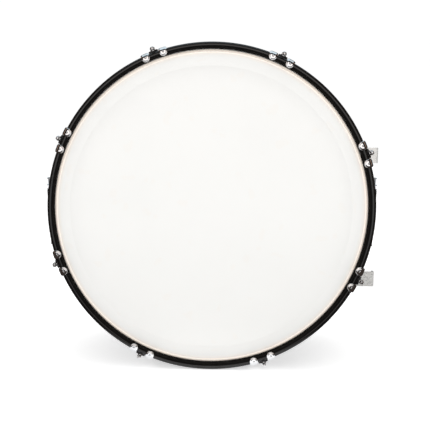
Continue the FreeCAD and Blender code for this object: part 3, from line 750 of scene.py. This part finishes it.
class DrumFinishes(bpy.types.PropertyGroup):
    """Colours and gloss of the drum's finishes."""
    film_colour: colour("Film", "Colour of the coated film", (0.86, 0.855, 0.835))
    # The film rim's colour is partly the bearing edge's tint and partly painted shade of the shadowed slope.
    rim_tint_and_painted_shade: colour("Film rim", "Colour of the film over the bearing edge", (0.92, 0.82, 0.72))
    # Painted light: the film's rim glows, though nothing lights it from behind.
    painted_rim_glow: FloatProperty(name="Rim glow", description="Light that shows through the film's edge",
                            default=0.60, subtype="FACTOR", min=0, max=1)
    film_roughness: FloatProperty(name="Film roughness", description="Roughness of the film", default=0.30,
                                  subtype="FACTOR", min=0, max=1)
    lacquer_colour: colour("Lacquer", "Colour of the hoops and of the shell's outside",
                           (0.0055, 0.0050, 0.0048))
    chrome_colour: colour("Chrome", "Colour of the plated parts", (0.80, 0.81, 0.83))
    chrome_roughness: FloatProperty(name="Chrome roughness", description="Roughness of clean chrome",
                                    default=0.06, subtype="FACTOR", min=0, max=1)
    claw_colour: colour("Claw casting", "Colour of the powder coat", (0.0060, 0.0060, 0.0065))
    bracket_colour: colour("Bracket", "Colour of the zinc plate", (0.86, 0.86, 0.84))
    grip_colour: colour("Grip", "Colour of the grips' rubber", (0.012, 0.012, 0.012))


class DrumRoundParts(bpy.types.PropertyGroup):
    """Sizes of the heads and hoops."""
    segments: IntProperty(name="Segments", description="Steps round the drum", default=240, min=48)
    film: length("Film", "Thickness of the film", 0.6)
    rim_round: length("Rim round", "Radius at which the film turns over the bearing edge", 3.7)
    hoop_lip: length("Hoop lip", "Inner radius of the hoop's front lip", 335.0)
    hoop_rabbet: length("Rabbet", "Inner radius of the hoop behind its lip", 340.0)


class DrumClawParts(bpy.types.PropertyGroup):
    """Sizes of the claws' toes."""
    toe_width: length("Toe width", "Width of a chrome toe", 17.5)
    toe_spacing: length("Toe spacing", "Distance between a claw's two toes", 39.0)
    toe_end: length("Toe end", "Radius of the round end from the drum's axis", 331.5)
    sheet: length("Sheet", "Thickness of the pressed steel", 3.0)
    emboss: length("Emboss", "Height of the raised middle of a toe", 0.7)
    ear: length("Ear", "Half the width of the ear round the rod", 4.8)


class DrumRodParts(bpy.types.PropertyGroup):
    """Sizes of the key rods."""
    rod_radius: length("Rod radius", "Radius of a rod over its thread", 3.0)
    pitch: length("Pitch", "Pitch of the thread", 1.0)
    thread: length("Thread", "Length of the threaded part", 54.0)
    flange: length("Flange", "Radius of the flange", 5.2)
    square: length("Square", "Size of the square head across its flats", 6.35)


class DrumHandleParts(bpy.types.PropertyGroup):
    """Sizes of the side handles' grips."""
    drop: FloatProperty(name="Drop", description="Angle of the handles below the drum's axis",
                        default=radians(2.4), subtype="ANGLE")
    grip_out: length("Grip face", "Distance of the grip's outer face from the drum's axis", 384.0)
    grip_thick: length("Grip thickness", "Thickness of the padded bar", 9.0)
    grip_width: length("Grip width", "Width of the padded bar", 30.0)
    grip_length: length("Grip length", "Length of the padded bar between its posts", 101.0)
    rib_count: IntProperty(name="Ribs", description="Ribs on each half of a grip", default=8, min=1)
    rib_step: length("Rib step", "Distance from rib to rib", 4.6)
    rib_height: length("Rib height", "Height of a rib over the grip's face", 0.8)


class DrumStage(bpy.types.PropertyGroup):
    """Camera and light."""
    elevation: FloatProperty(name="Elevation",
                             description="Camera's height above the drum's axis, as an angle",
                             default=radians(4.5), subtype="ANGLE")
    pan: FloatProperty(name="Pan", description="How far the camera is turned to its left of the drum",
                       default=radians(3.16), subtype="ANGLE")
    tilt: FloatProperty(name="Tilt", description="How far the camera points below the level",
                        default=radians(6.145), subtype="ANGLE")
    shift: FloatVectorProperty(name="Shift",
                               description="How far the picture is moved to the right and up, in widths",
                               size=2, default=(0.0919, 0.0296))
    distance: length("Distance", "Camera's distance from the front hoop", 1300.0)
    lens: FloatProperty(name="Lens", description="Focal length", default=51.67, unit="CAMERA", min=10)
    backdrop: FloatProperty(name="Backdrop", description="Brightness of the plain backdrop", default=1.02,
                            min=0)
    soft_light: FloatProperty(name="Soft light", description="Even light from all round", default=0.74, min=0)
    floor_glow: FloatProperty(name="Floor glow", description="Light that comes up through the pale floor",
                              default=0.55, min=0)


# Operators

class DRUM_OT_heads(bpy.types.Operator):
    """Make the two heads: coated film that rounds over the bearing edge and down into its flesh hoop"""
    bl_idname = "drum.heads"
    bl_label = "Heads"

    def execute(self, context):
        sizes = context.scene.drum_round_parts
        film = sizes.film / MM
        collar = FLESH_RADIUS - 5.4
        rim = SHELL_RADIUS - 1.4
        edge = sizes.rim_round / MM
        outline = outline_points([
            (rim + 0.3, -HALF_DEPTH - film, edge), (collar, -FLESH_FRONT - 0.1, 2.6),
            (collar, -FLESH_BACK, 0), (collar - film, -FLESH_BACK, 0),
            (collar - film, -FLESH_FRONT + 0.2, 2.0), (rim, -HALF_DEPTH, edge - film),
        ], 10)
        flat_from = outline[0][0]
        rings = [flat_from * k / 12 for k in range(13)]
        outline = [(r, -HALF_DEPTH - film) for r in rings[:-1]] + outline
        outline += [(r, -HALF_DEPTH) for r in reversed(rings[:-1])]
        mesh = lathe("drumhead", outline, sizes.segments, AXIS_Z, sharp=40.0)
        for end, shape in (("front", mesh), ("rear", mirrored(mesh))):
            stand_in(shown(f"head_{end}", shape), "drum", "head_film", f"drumhead_{end}", material="film")
        return {"FINISHED"}


class DRUM_OT_hoops(bpy.types.Operator):
    """Make the two lacquered wooden hoops and dress the metal hoops that hold the film"""
    bl_idname = "drum.hoops"
    bl_label = "Hoops"

    def execute(self, context):
        sizes = context.scene.drum_round_parts
        lip = sizes.hoop_lip / MM
        rabbet = sizes.hoop_rabbet / MM
        outline = outline_points([
            (lip, -HOOP_FRONT, 4.5), (HOOP_RADIUS, -HOOP_FRONT, 6.0), (HOOP_RADIUS, -HOOP_BACK, 2.0),
            (rabbet, -HOOP_BACK, 1.5), (rabbet, -FLESH_FRONT, 0), (lip, -FLESH_FRONT, 1.0),
        ], 10)
        mesh = lathe("hoop", outline, sizes.segments, AXIS_Z, sharp=40.0)
        for end, shape in (("front", mesh), ("rear", mirrored(mesh))):
            piece = stand_in(shown(f"wooden_hoop_{end}", shape), "drum", "hoop_lacquer", f"hoop_{end}",
                             material="hoop")
            piece.data.materials.append(finish("hoop_inside"))
            for face in piece.data.polygons:
                out = Vector((face.center.x, 0, face.center.z - AXIS_Z * MM)).normalized()
                face.material_index = int(face.normal.dot(out) < -0.42)
        dress([f"flesh_hoop_{end}" for end in ENDS], "flesh")
        return {"FINISHED"}


class DRUM_OT_shell(bpy.types.Operator):
    """Dress the shell and its vent"""
    bl_idname = "drum.shell"
    bl_label = "Shell"

    def execute(self, context):
        dress(["shell"], "shell")
        dress(["vent_grommet"], "chrome")
        return {"FINISHED"}


def lug_outline(foot, neck, barrel, count=14):
    """Half-and-half outline of a lug's section in (radial, tangential), symmetrical about the middle."""
    half = outline_points([
        (GASKET_TOP, 0, 0), (sqrt(GASKET_TOP ** 2 - foot ** 2), foot, 0), (GASKET_TOP + 3.2, foot, 1.4),
        (GASKET_TOP + 4.4, neck + 2.2, 2.6), (ROD_AXIS_RADIUS - 5.0, neck, 3.0),
        (ROD_AXIS_RADIUS - 3.2, barrel * 0.93, 0.6),
    ], 5)
    start = atan2(barrel * 0.93, -barrel * 0.368)
    arc = [(ROD_AXIS_RADIUS + barrel * cos(start * (1 - k / count)), barrel * sin(start * (1 - k / count)))
           for k in range(1, count + 1)]
    upper = half + arc
    return upper + [(u, -v) for u, v in reversed(upper[1:-1])]


class DRUM_OT_lugs(bpy.types.Operator):
    """Make the double-ended lug casings and dress their nuts, gaskets and screws"""
    bl_idname = "drum.lugs"
    bl_label = "Lugs"

    def execute(self, context):
        stops = [0.0, 10.0, 20.0, 24.0, 25.5, 27.0, 29.0, 31.0, 33.0, 34.3, 35.2, 35.8, 36.0]
        scale = LUG_HALF_LENGTH / stops[-1]
        sections = []
        for y in [-stop for stop in reversed(stops)] + stops[1:]:
            along = abs(y)
            corner = max(0.0, along - 28.0) / 8.0
            rim = max(0.0, along - 34.3) / 1.7
            shrink = 1.7 * (1 - sqrt(max(0.0, 1 - rim ** 2))) * 0.8
            collar = min(1.0, max(0.0, (along - 24.0) / 3.0))
            barrel = 7.7 + 0.8 * collar * collar * (3 - 2 * collar) - shrink
            foot = 13.0 - 3.4 * (1 - sqrt(max(0.0, 1 - corner ** 2))) - shrink
            sections.append((y * scale, lug_outline(foot, 7.0 - shrink, barrel)))
        count = len(sections[0][1])
        points = [(u, y, v) for y, section in sections for u, v in section]
        faces = loops_faces(len(sections), count)
        pocket, seat, bore, segments = 5.55, LUG_HALF_LENGTH - 10.0, 3.6, 28
        for side in (-1, 1):
            rings = []
            for radius, y in ((pocket + 0.5, LUG_HALF_LENGTH), (pocket, LUG_HALF_LENGTH - 0.5),
                              (pocket, seat), (bore, seat), (bore, 12.0)):
                rings.append(len(points))
                points += [(ROD_AXIS_RADIUS + radius * cos(2 * pi * k / segments), side * y,
                            radius * sin(2 * pi * k / segments)) for k in range(segments)]
            for a, b in zip(rings, rings[1:]):
                faces += [(a + k, a + (k + 1) % segments, b + (k + 1) % segments, b + k)
                          for k in range(segments)]
            faces.append([rings[-1] + k for k in range(segments)])
        mesh = bpy.data.meshes.new("lug_casing")
        mesh.from_pydata([Vector(p) * MM for p in points], [], faces)
        shape = bmesh.new()
        shape.from_mesh(mesh)
        for side in (-1, 1):
            mouth = [e for e in shape.edges if e.is_boundary
                     and all(abs(v.co.y - side * LUG_HALF_LENGTH * MM) < 1e-7 for v in e.verts)]
            bmesh.ops.triangle_fill(shape, edges=mouth, use_beauty=True)
        shape.to_mesh(mesh)
        shape.free()
        polish(mesh, sharp=38.0)
        piece = around("lug_castings", mesh, finish("chrome"), STATION_ANGLES)
        stand_in(piece, "drum", "hardware_chrome", "lug_casings")
        dress(["lug_gaskets"], "rubber")
        dress(["swivel_nuts"], "brass")
        dress(["lug_screws", "lug_washers"], "steel")
        return {"FINISHED"}


def toe_mesh(sizes):
    """Pressed hook: a round-ended tongue over the hoop's front, a bend, and a limb down its outside."""
    half = sizes.toe_width / MM / 2
    sheet = sizes.sheet / MM
    emboss = sizes.emboss / MM
    tip = sizes.toe_end / MM
    limb_x = HOOP_RADIUS + 0.4 + sheet / 2
    face_y = -(HOOP_FRONT + 0.3 + sheet / 2)
    bend = 8.0
    run = limb_x - bend - tip
    arc = bend * pi / 2
    limb = -face_y - bend - LIMB_BACK
    total = run + arc + limb
    corner = 3.0

    def spine(s):
        if s < run:
            return tip + s, face_y, 0.0, -1.0
        if s < run + arc:
            a = (s - run) / bend
            return limb_x - bend + bend * sin(a), face_y + bend - bend * cos(a), sin(a), -cos(a)
        return limb_x, face_y + bend + (s - run - arc), 1.0, 0.0

    def reach(s):
        if s < half:
            return sqrt(max(0.0, half ** 2 - (half - s) ** 2))
        left = total - s
        if left < corner:
            return half - corner + sqrt(max(0.0, corner ** 2 - (corner - left) ** 2))
        return half

    def rim_distance(s, z):
        if s < half:
            return half - hypot(half - s, z)
        left, side = total - s, half - abs(z)
        if left < corner and side < corner:
            return corner - hypot(corner - left, corner - side)
        return min(left, side)

    stops = [half * (1 - cos(pi / 2 * k / 12)) for k in range(13)]
    stops += [run + arc * k / 16 for k in range(17)]
    stops += [run + arc + (limb - corner) * k / 6 for k in range(1, 7)]
    stops += [total - corner * (1 - sin(pi / 2 * k / 5)) for k in range(1, 6)]
    lanes = 20
    points = []
    for s in stops:
        x, y, nx, ny = spine(s)
        width = reach(s)
        top, under = [], []
        for k in range(lanes + 1):
            z = width * sin(pi / 2 * (1 - 2 * k / lanes))
            d = max(0.0, rim_distance(s, z))
            lift = sheet / 2 - (1 - sqrt(max(0.0, 1 - (1 - min(d, 1.0)) ** 2)))
            step = min(1.0, max(0.0, (d - 1.7) / 1.3))
            lift += emboss * step * step * (3 - 2 * step) - emboss * 0.4
            drop = -sheet / 2 + 0.5 * (1 - sqrt(max(0.0, 1 - (1 - min(d / 0.5, 1.0)) ** 2)))
            top.append((x + nx * lift, y + ny * lift, z))
            under.append((x + nx * drop, y + ny * drop, z))
        points += top + under[::-1]
    count = 2 * (lanes + 1)
    faces = loops_faces(len(stops), count)
    last = (len(stops) - 1) * count
    faces += [(last + k, last + k + 1, last + count - 2 - k, last + count - 1 - k) for k in range(lanes)]
    plate = mesh_of("toe_plate", points, faces, sharp=60.0)
    dome = spindle("toe_rivet", [(0, 1.05), (0.8, 1.0), (1.5, 0.82), (2.1, 0.45), (2.4, 0.0), (2.4, -0.8),
                                 (0, -0.8)],
                   20, (tip + half, face_y - sheet / 2 - emboss * 0.6 + 0.05, 0), (0, -1, 0))
    return joined("toe", plate, dome)


def union(name, solids, cuts, bevel, merge=1e-6):
    """One closed mesh: solids joined, cuts taken away, and its edges rounded. Radius in millimetres."""
    body = shown(name, solids[0])
    helpers = []
    for operation, meshes in (("UNION", solids[1:]), ("DIFFERENCE", cuts)):
        for mesh in meshes:
            helper = shown(name + "_tool", mesh)
            helpers.append(helper)
            step = body.modifiers.new(operation, "BOOLEAN")
            step.operation = operation
            step.object = helper
            step.solver = "EXACT"
    graph = bpy.context.evaluated_depsgraph_get()
    rough = bpy.data.meshes.new_from_object(body.evaluated_get(graph), depsgraph=graph)
    shape = bmesh.new()
    shape.from_mesh(rough)
    bmesh.ops.remove_doubles(shape, verts=shape.verts, dist=2e-5)
    bmesh.ops.dissolve_limit(shape, angle_limit=radians(1.0), verts=shape.verts, edges=shape.edges)
    shape.to_mesh(rough)
    shape.free()
    body.modifiers.clear()
    body.data = rough
    if bevel:
        rounding = body.modifiers.new("rounding", "BEVEL")
        rounding.width = bevel * MM
        rounding.segments = 3
        rounding.limit_method = "ANGLE"
        rounding.angle_limit = radians(32)
        graph = bpy.context.evaluated_depsgraph_get()
        rough = bpy.data.meshes.new_from_object(body.evaluated_get(graph), depsgraph=graph)
    for helper in helpers:
        bpy.data.objects.remove(helper)
    bpy.data.objects.remove(body)
    rough.name = name
    return polish(rough, sharp=35.0, merge=merge)


def prism(name, outline, low, high, axis="Y"):
    """A closed outline of (u, v) drawn out along an axis: Y takes (x, z), Z takes (x, y)."""
    count = len(outline)
    lift = (lambda u, v, t: (u, t, v)) if axis == "Y" else (lambda u, v, t: (u, v, t))
    points = [lift(u, v, t) for t in (low, high) for u, v in outline]
    faces = [(k, (k + 1) % count, count + (k + 1) % count, count + k) for k in range(count)]
    faces += [list(range(count))[::-1], [count + k for k in range(count)]]
    return mesh_of(name, points, faces)


def curved_pad(name, inner, outer, y_low, y_high, half_angle, steps=10):
    """A curved plate round the drum's axis."""
    angles = [radians(half_angle) * (2 * k / steps - 1) for k in range(steps + 1)]
    outline = [(outer * cos(a), outer * sin(a)) for a in angles]
    outline += [(inner * cos(a), inner * sin(a)) for a in reversed(angles)]
    return prism(name, outline, y_low, y_high)


def yoke_mesh(sizes):
    """Casting behind a claw's toes, with an ear between them that tapers outwards round the rod."""
    inner = HOOP_RADIUS + 0.4
    toe_angle = degrees(sizes.toe_spacing / MM / 2 / HOOP_RADIUS)
    half_angle = toe_angle + degrees(sizes.toe_width / MM / 2 / HOOP_RADIUS) - 0.2
    bar = curved_pad("yoke_bar", inner, inner + 3.4, -LIMB_BACK + 0.1, -CLAW_BACK, half_angle)
    gap = sizes.toe_spacing / MM / 2 - sizes.toe_width / MM / 2 - 0.8
    ear = sizes.ear / MM
    crown = ROD_AXIS_RADIUS + ear
    shoulder = inner + sizes.sheet / MM
    middle = prism("yoke_middle", outline_points([
        (inner, -gap, 1.0), (shoulder, -gap, 1.5), (shoulder + 0.4, -ear, 1.5), (crown, -ear, 4.0),
        (crown, ear, 4.0), (shoulder + 0.4, ear, 1.5), (shoulder, gap, 1.5), (inner, gap, 1.0)], 6),
        -BOSS_FRONT, -CLAW_BACK - 0.02)
    hole = spindle("yoke_hole", [(0, -60.0), (3.5, -60.0), (3.5, 40.0), (0, 40.0)], 28,
                   (ROD_AXIS_RADIUS, -HOOP_FRONT, 0), (0, -1, 0))
    return union("yoke", [middle, bar], [hole], 0.7)


class DRUM_OT_claws(bpy.types.Operator):
    """Make each claw: two chrome toes over the hoop and the black casting between them"""
    bl_idname = "drum.claws"
    bl_label = "Claws"

    def execute(self, context):
        sizes = context.scene.drum_claw_parts
        swing = sizes.toe_spacing / MM / 2 / HOOP_RADIUS
        toe, yoke = toe_mesh(sizes), yoke_mesh(sizes)
        shapes = {"front": (toe, yoke), "rear": (mirrored(toe), mirrored(yoke))}
        for end in ENDS:
            for number, angle in enumerate(STATION_ANGLES, 1):
                node = f"claw_{end}_{number}"
                toes = around(f"claw_toes_{end}_{number}", shapes[end][0], finish("chrome"),
                              (angle - swing, angle + swing))
                stand_in(toes, node, "hardware_chrome", node)
                casting = around(f"claw_yoke_{end}_{number}", shapes[end][1], finish("claw"), (angle,))
                stand_in(casting, node, "claw_black", node)
        return {"FINISHED"}


def rod_mesh(sizes):
    """Key rod: threaded end, plain shank, flange and a square head with a turned-off top."""
    radius = sizes.rod_radius / MM
    core = radius - 0.32
    flange = sizes.flange / MM
    seat = BOSS_FRONT + 0.1
    thread_end = ROD_BACK + sizes.thread / MM
    profile = [
        (0, ROD_BACK), (core - 0.7, ROD_BACK), (core, ROD_BACK + 0.7), (core, thread_end),
        (radius - 0.25, thread_end + 0.6), (radius - 0.25, seat - 4), (radius, seat - 3.6), (radius, seat),
        (flange - 0.4, seat), (flange, seat + 0.35), (flange, seat + 1.5), (flange - 0.5, seat + 2.15),
        (flange - 1.2, seat + 2.4), (0, seat + 2.4)]
    shaft = spindle("rod_shaft", profile, 26, (ROD_AXIS_RADIUS, 0, 0), (0, -1, 0))
    half = sizes.square / MM / 2
    head_top = ROD_FRONT
    outline = outline_points([(half, -half, 0.7), (half, half, 0.7), (-half, half, 0.7),
                              (-half, -half, 0.7)], 4)
    count = len(outline)
    points = []
    levels = [(seat + 1.6, 1.0), (head_top - 2.2, 1.0), (head_top - 1.2, 0.97), (head_top - 0.5, 0.84),
              (head_top - 0.1, 0.6), (head_top, 0.3)]
    for level, share in levels:
        for u, v in outline:
            reach = hypot(u, v)
            limit = half * 1.22 * share if share < 1 else reach
            pull = min(1.0, limit / reach)
            points.append((ROD_AXIS_RADIUS + u * pull, -level, v * pull))
    faces = loops_faces(len(levels), count)
    faces += [list(range(count)), [(len(levels) - 1) * count + k for k in range(count)]]
    head = mesh_of("rod_head", points, faces, sharp=32.0)
    turns = (sizes.thread / MM - 1.4) / (sizes.pitch / MM)
    whole = baked("key_rod", joined("rod_body", shaft, head), thread_tree, radius=core * MM,
                  pitch=sizes.pitch, turns=turns, ridge=0.46 * MM, material=finish("rod"),
                  start=Vector((ROD_AXIS_RADIUS, -ROD_BACK - 0.7, 0)) * MM)
    return whole


class DRUM_OT_key_rods(bpy.types.Operator):
    """Make the threaded key rods with their flanges and square heads"""
    bl_idname = "drum.key_rods"
    bl_label = "Key rods"

    def execute(self, context):
        rod = rod_mesh(context.scene.drum_rod_parts)
        shapes = {"front": rod, "rear": mirrored(rod)}
        for end in ENDS:
            for number, angle in enumerate(STATION_ANGLES, 1):
                node = f"key_rod_{end}_{number}"
                piece = around(f"tension_rod_{end}_{number}", shapes[end], finish("rod"), (angle,))
                stand_in(piece, node, "hardware_chrome", node)
        return {"FINISHED"}


def grip_mesh(sizes):
    """Padded bar with ribs across its outer face, plain in the middle where the rivets are."""
    out, thick = sizes.grip_out / MM, sizes.grip_thick / MM
    half, reach = sizes.grip_width / MM / 2, sizes.grip_length / MM / 2
    outline = outline_points([(out - thick, -half, 3.2), (out, -half, 3.2), (out, half, 3.2),
                              (out - thick, half, 3.2)], 6)
    bar = prism("grip_bar", outline, -reach, reach, axis="Z")
    height = sizes.rib_height / MM
    rib = spindle("grip_rib", [(0, -half + 4), (1.0, -half + 4.4), (1.5, -half + 5.2), (1.5, half - 5.2),
                               (1.0, half - 4.4), (0, half - 4)], 16, (out + height - 1.5, 0, 0), (0, 1, 0))
    step = sizes.rib_step / MM
    first = reach - 3.0
    rows = [baked("grip_ribs", rib, ribs_tree, count=sizes.rib_count, start=Vector((0, 0, side * first)) * MM,
                  offset=Vector((0, 0, -side * step)) * MM, material=finish("grip")) for side in (-1, 1)]
    return joined("grip", bar, *rows)


class DRUM_OT_handles(bpy.types.Operator):
    """Dress the side handles' posts and rivets and make their ribbed grips"""
    bl_idname = "drum.handles"
    bl_label = "Handles"

    def execute(self, context):
        sizes = context.scene.drum_handle_parts
        mesh = grip_mesh(sizes)
        for side, angle in (("right", -sizes.drop), ("left", pi + sizes.drop)):
            dress([f"handle_posts_{side}", f"grip_rivets_{side}"], "chrome")
            grip = around(f"ribbed_grip_{side}", mesh, finish("grip"), (angle,))
            stand_in(grip, "drum", "grip_black", f"handle_grip_{side}")
        dress(["handle_screws"], "chrome")
        return {"FINISHED"}


class DRUM_OT_carrier_brackets(bpy.types.Operator):
    """Dress the two carrier brackets"""
    bl_idname = "drum.carrier_brackets"
    bl_label = "Carrier brackets"

    def execute(self, context):
        dress(["carrier_bracket_upper", "carrier_bracket_lower"], "zinc")
        return {"FINISHED"}


class DRUM_OT_fasteners(bpy.types.Operator):
    """Dress the screws, nuts and washers of the shell's fittings"""
    bl_idname = "drum.fasteners"
    bl_label = "Fasteners"

    def execute(self, context):
        dress(["bracket_screws", "shell_nuts", "shell_washers"], "steel")
        return {"FINISHED"}


def soft_light(name, place_at, look_at, size, power, tint=(1, 1, 1), glossy=True):
    lamp = bpy.data.lights.new(name, "AREA")
    lamp.shape = "RECTANGLE"
    lamp.size, lamp.size_y = size
    lamp.energy = power
    lamp.color = tint
    light = bpy.data.objects.new(name, lamp)
    bpy.context.scene.collection.objects.link(light)
    light.location = place_at
    light.rotation_euler = (Vector(look_at) - Vector(place_at)).to_track_quat("-Z", "Y").to_euler()
    light.visible_camera = False
    light.visible_glossy = glossy


class DRUM_OT_stage(bpy.types.Operator):
    """Make the floor, the backdrop, the lights and the camera"""
    bl_idname = "drum.stage"
    bl_label = "Stage"

    def execute(self, context):
        sizes = context.scene.drum_stage
        scene = context.scene
        scene.view_settings.view_transform = "Standard"
        material, tree, shader = new_material("pale_floor", Roughness=0.9, Specular_IOR_Level=0.1,
                                              Emission_Strength=sizes.floor_glow)
        where = place_on_piece(tree)
        mottle = eased(tree, noise(tree, where, 3.0, 4.0), 0.3, 0.7)
        pale = blended(tree, mottle, (0.93, 0.93, 0.93, 1), (0.95, 0.95, 0.95, 1))
        # Painted reflection: in mirror reflections only, the floor is painted dark away from the hoop's foot,
        # like a dark studio, and stays bright far out in front of the drum as a painted reflection of the
        # softbox.
        foot = (0, -HOOP_FRONT * MM, 0)
        away = place(tree, "ShaderNodeVectorMath", {0: where, 1: foot}, operation="DISTANCE").outputs["Value"]
        depth = place(tree, "ShaderNodeSeparateXYZ", {"Vector": where}).outputs["Y"]
        front = sums(tree, "DIVIDE", depth, away)
        soft, full = SOFTBOX_EDGE
        glint = sums(tree, "MULTIPLY", eased(tree, away, 1.5, 3.0),
                     eased(tree, front, -full, -soft, 1.0, 0.0))
        far = sums(tree, "MULTIPLY", eased(tree, away, 0.20, 0.34), sums(tree, "SUBTRACT", 1.0, glint))
        mirrored = place(tree, "ShaderNodeLightPath").outputs["Is Glossy Ray"]
        floor_painted_dark_in_mirrors = sums(tree, "MULTIPLY", far, mirrored)
        tree.links.new(blended(tree, floor_painted_dark_in_mirrors, pale, (0.05, 0.035, 0.028, 1)), shader.inputs["Base Color"])
        tree.links.new(blended(tree, floor_painted_dark_in_mirrors, (1, 1, 1, 1), (0, 0, 0, 1)), shader.inputs["Emission Color"])
        points = [(-60000, -60000, 0), (60000, -60000, 0), (60000, 60000, 0), (-60000, 60000, 0)]
        floor = shown("floor", mesh_of("floor", points, [(0, 1, 2, 3)]))
        floor.data.materials.append(material)

        world = bpy.data.worlds.new("studio")
        world.use_nodes = True
        tree = world.node_tree
        tree.nodes.clear()
        way = place(tree, "ShaderNodeTexCoord").outputs["Generated"]
        parts = place(tree, "ShaderNodeSeparateXYZ", {"Vector": way})
        ahead = sums(tree, "MULTIPLY", parts.outputs["Y"], -1.0)
        softbox = eased(tree, ahead, *SOFTBOX_EDGE)
        panel = sums(tree, "MULTIPLY", eased(tree, ahead, 0.16, 0.22),
                     eased(tree, ahead, 0.38, 0.46, 1.0, 0.0))
        overhead = eased(tree, parts.outputs["Z"], 0.72, 0.88)
        wall = eased(tree, parts.outputs["Y"], 0.55, 0.85)
        room = blended(tree, softbox, (0.012, 0.012, 0.013, 1), (1.50, 1.38, 1.30, 1))
        room = blended(tree, panel, room, (0.42, 0.28, 0.20, 1))
        room = blended(tree, overhead, room, (0.85, 0.98, 1.05, 1))
        room = blended(tree, wall, room, (0.75, 0.78, 0.80, 1))
        rays = place(tree, "ShaderNodeLightPath")
        even = sizes.soft_light
        lit = blended(tree, rays.outputs["Is Glossy Ray"], (even, even, even, 1), room)
        level = sizes.backdrop
        both = blended(tree, rays.outputs["Is Camera Ray"], lit, (level, level, level, 1))
        light = place(tree, "ShaderNodeBackground", {"Color": both, "Strength": 1.0})
        out = place(tree, "ShaderNodeOutputWorld")
        tree.links.new(light.outputs["Background"], out.inputs["Surface"])
        scene.world = world

        middle = (0, 0, AXIS_Z * MM)
        soft_light("key", (-1.3, -2.6, 1.6), middle, (1.6, 1.6), 5, (1.0, 0.99, 0.97), glossy=False)
        soft_light("fill", (1.7, -2.4, 0.9), middle, (1.6, 1.6), 3, (1.0, 0.98, 0.96), glossy=False)
        soft_light("top", (0.0, -0.2, 2.4), middle, (3.0, 2.4), 8, (0.97, 0.99, 1.0), glossy=False)

        camera = bpy.data.cameras.new("camera")
        camera.lens = sizes.lens
        camera.sensor_width = 36.0
        camera.clip_start, camera.clip_end = 0.05, 200.0
        camera.shift_x, camera.shift_y = sizes.shift
        holder = bpy.data.objects.new("camera", camera)
        scene.collection.objects.link(holder)
        back = Vector((0, -cos(sizes.elevation), sin(sizes.elevation)))
        holder.location = Vector((0, -HOOP_FRONT, AXIS_Z)) * MM + back * sizes.distance
        holder.rotation_euler = (pi / 2 - sizes.tilt, 0, sizes.pan)
        scene.camera = holder
        return {"FINISHED"}


PIECES = (DRUM_OT_heads, DRUM_OT_hoops, DRUM_OT_shell, DRUM_OT_lugs, DRUM_OT_claws, DRUM_OT_key_rods,
          DRUM_OT_handles, DRUM_OT_carrier_brackets, DRUM_OT_fasteners, DRUM_OT_stage)
SETTINGS = {"drum_finishes": DrumFinishes, "drum_round_parts": DrumRoundParts,
            "drum_claw_parts": DrumClawParts, "drum_rod_parts": DrumRodParts,
            "drum_handle_parts": DrumHandleParts, "drum_stage": DrumStage}


class DRUM_PT_parts(bpy.types.Panel):
    """Lists the drum's pieces and sizes"""
    bl_idname = "DRUM_PT_parts"
    bl_label = "Bass drum"
    bl_space_type = "VIEW_3D"
    bl_region_type = "UI"
    bl_category = "Drum"

    def draw(self, context):
        for piece in PIECES:
            self.layout.operator(piece.bl_idname)
        for name in SETTINGS:
            settings = getattr(context.scene, name)
            column = self.layout.column(align=True)
            for key in settings.__annotations__:
                column.prop(settings, key)


def register():
    for kind in (*SETTINGS.values(), *PIECES, DRUM_PT_parts):
        bpy.utils.register_class(kind)
    for name, kind in SETTINGS.items():
        setattr(bpy.types.Scene, name, PointerProperty(type=kind))


def unregister():
    for name in SETTINGS:
        delattr(bpy.types.Scene, name)
    for kind in (DRUM_PT_parts, *reversed(PIECES), *SETTINGS.values()):
        bpy.utils.unregister_class(kind)


def main():
    register()
    for piece in PIECES:
        family, name = piece.bl_idname.split(".")
        getattr(getattr(bpy.ops, family), name)()


if __name__ == "__main__":
    main()
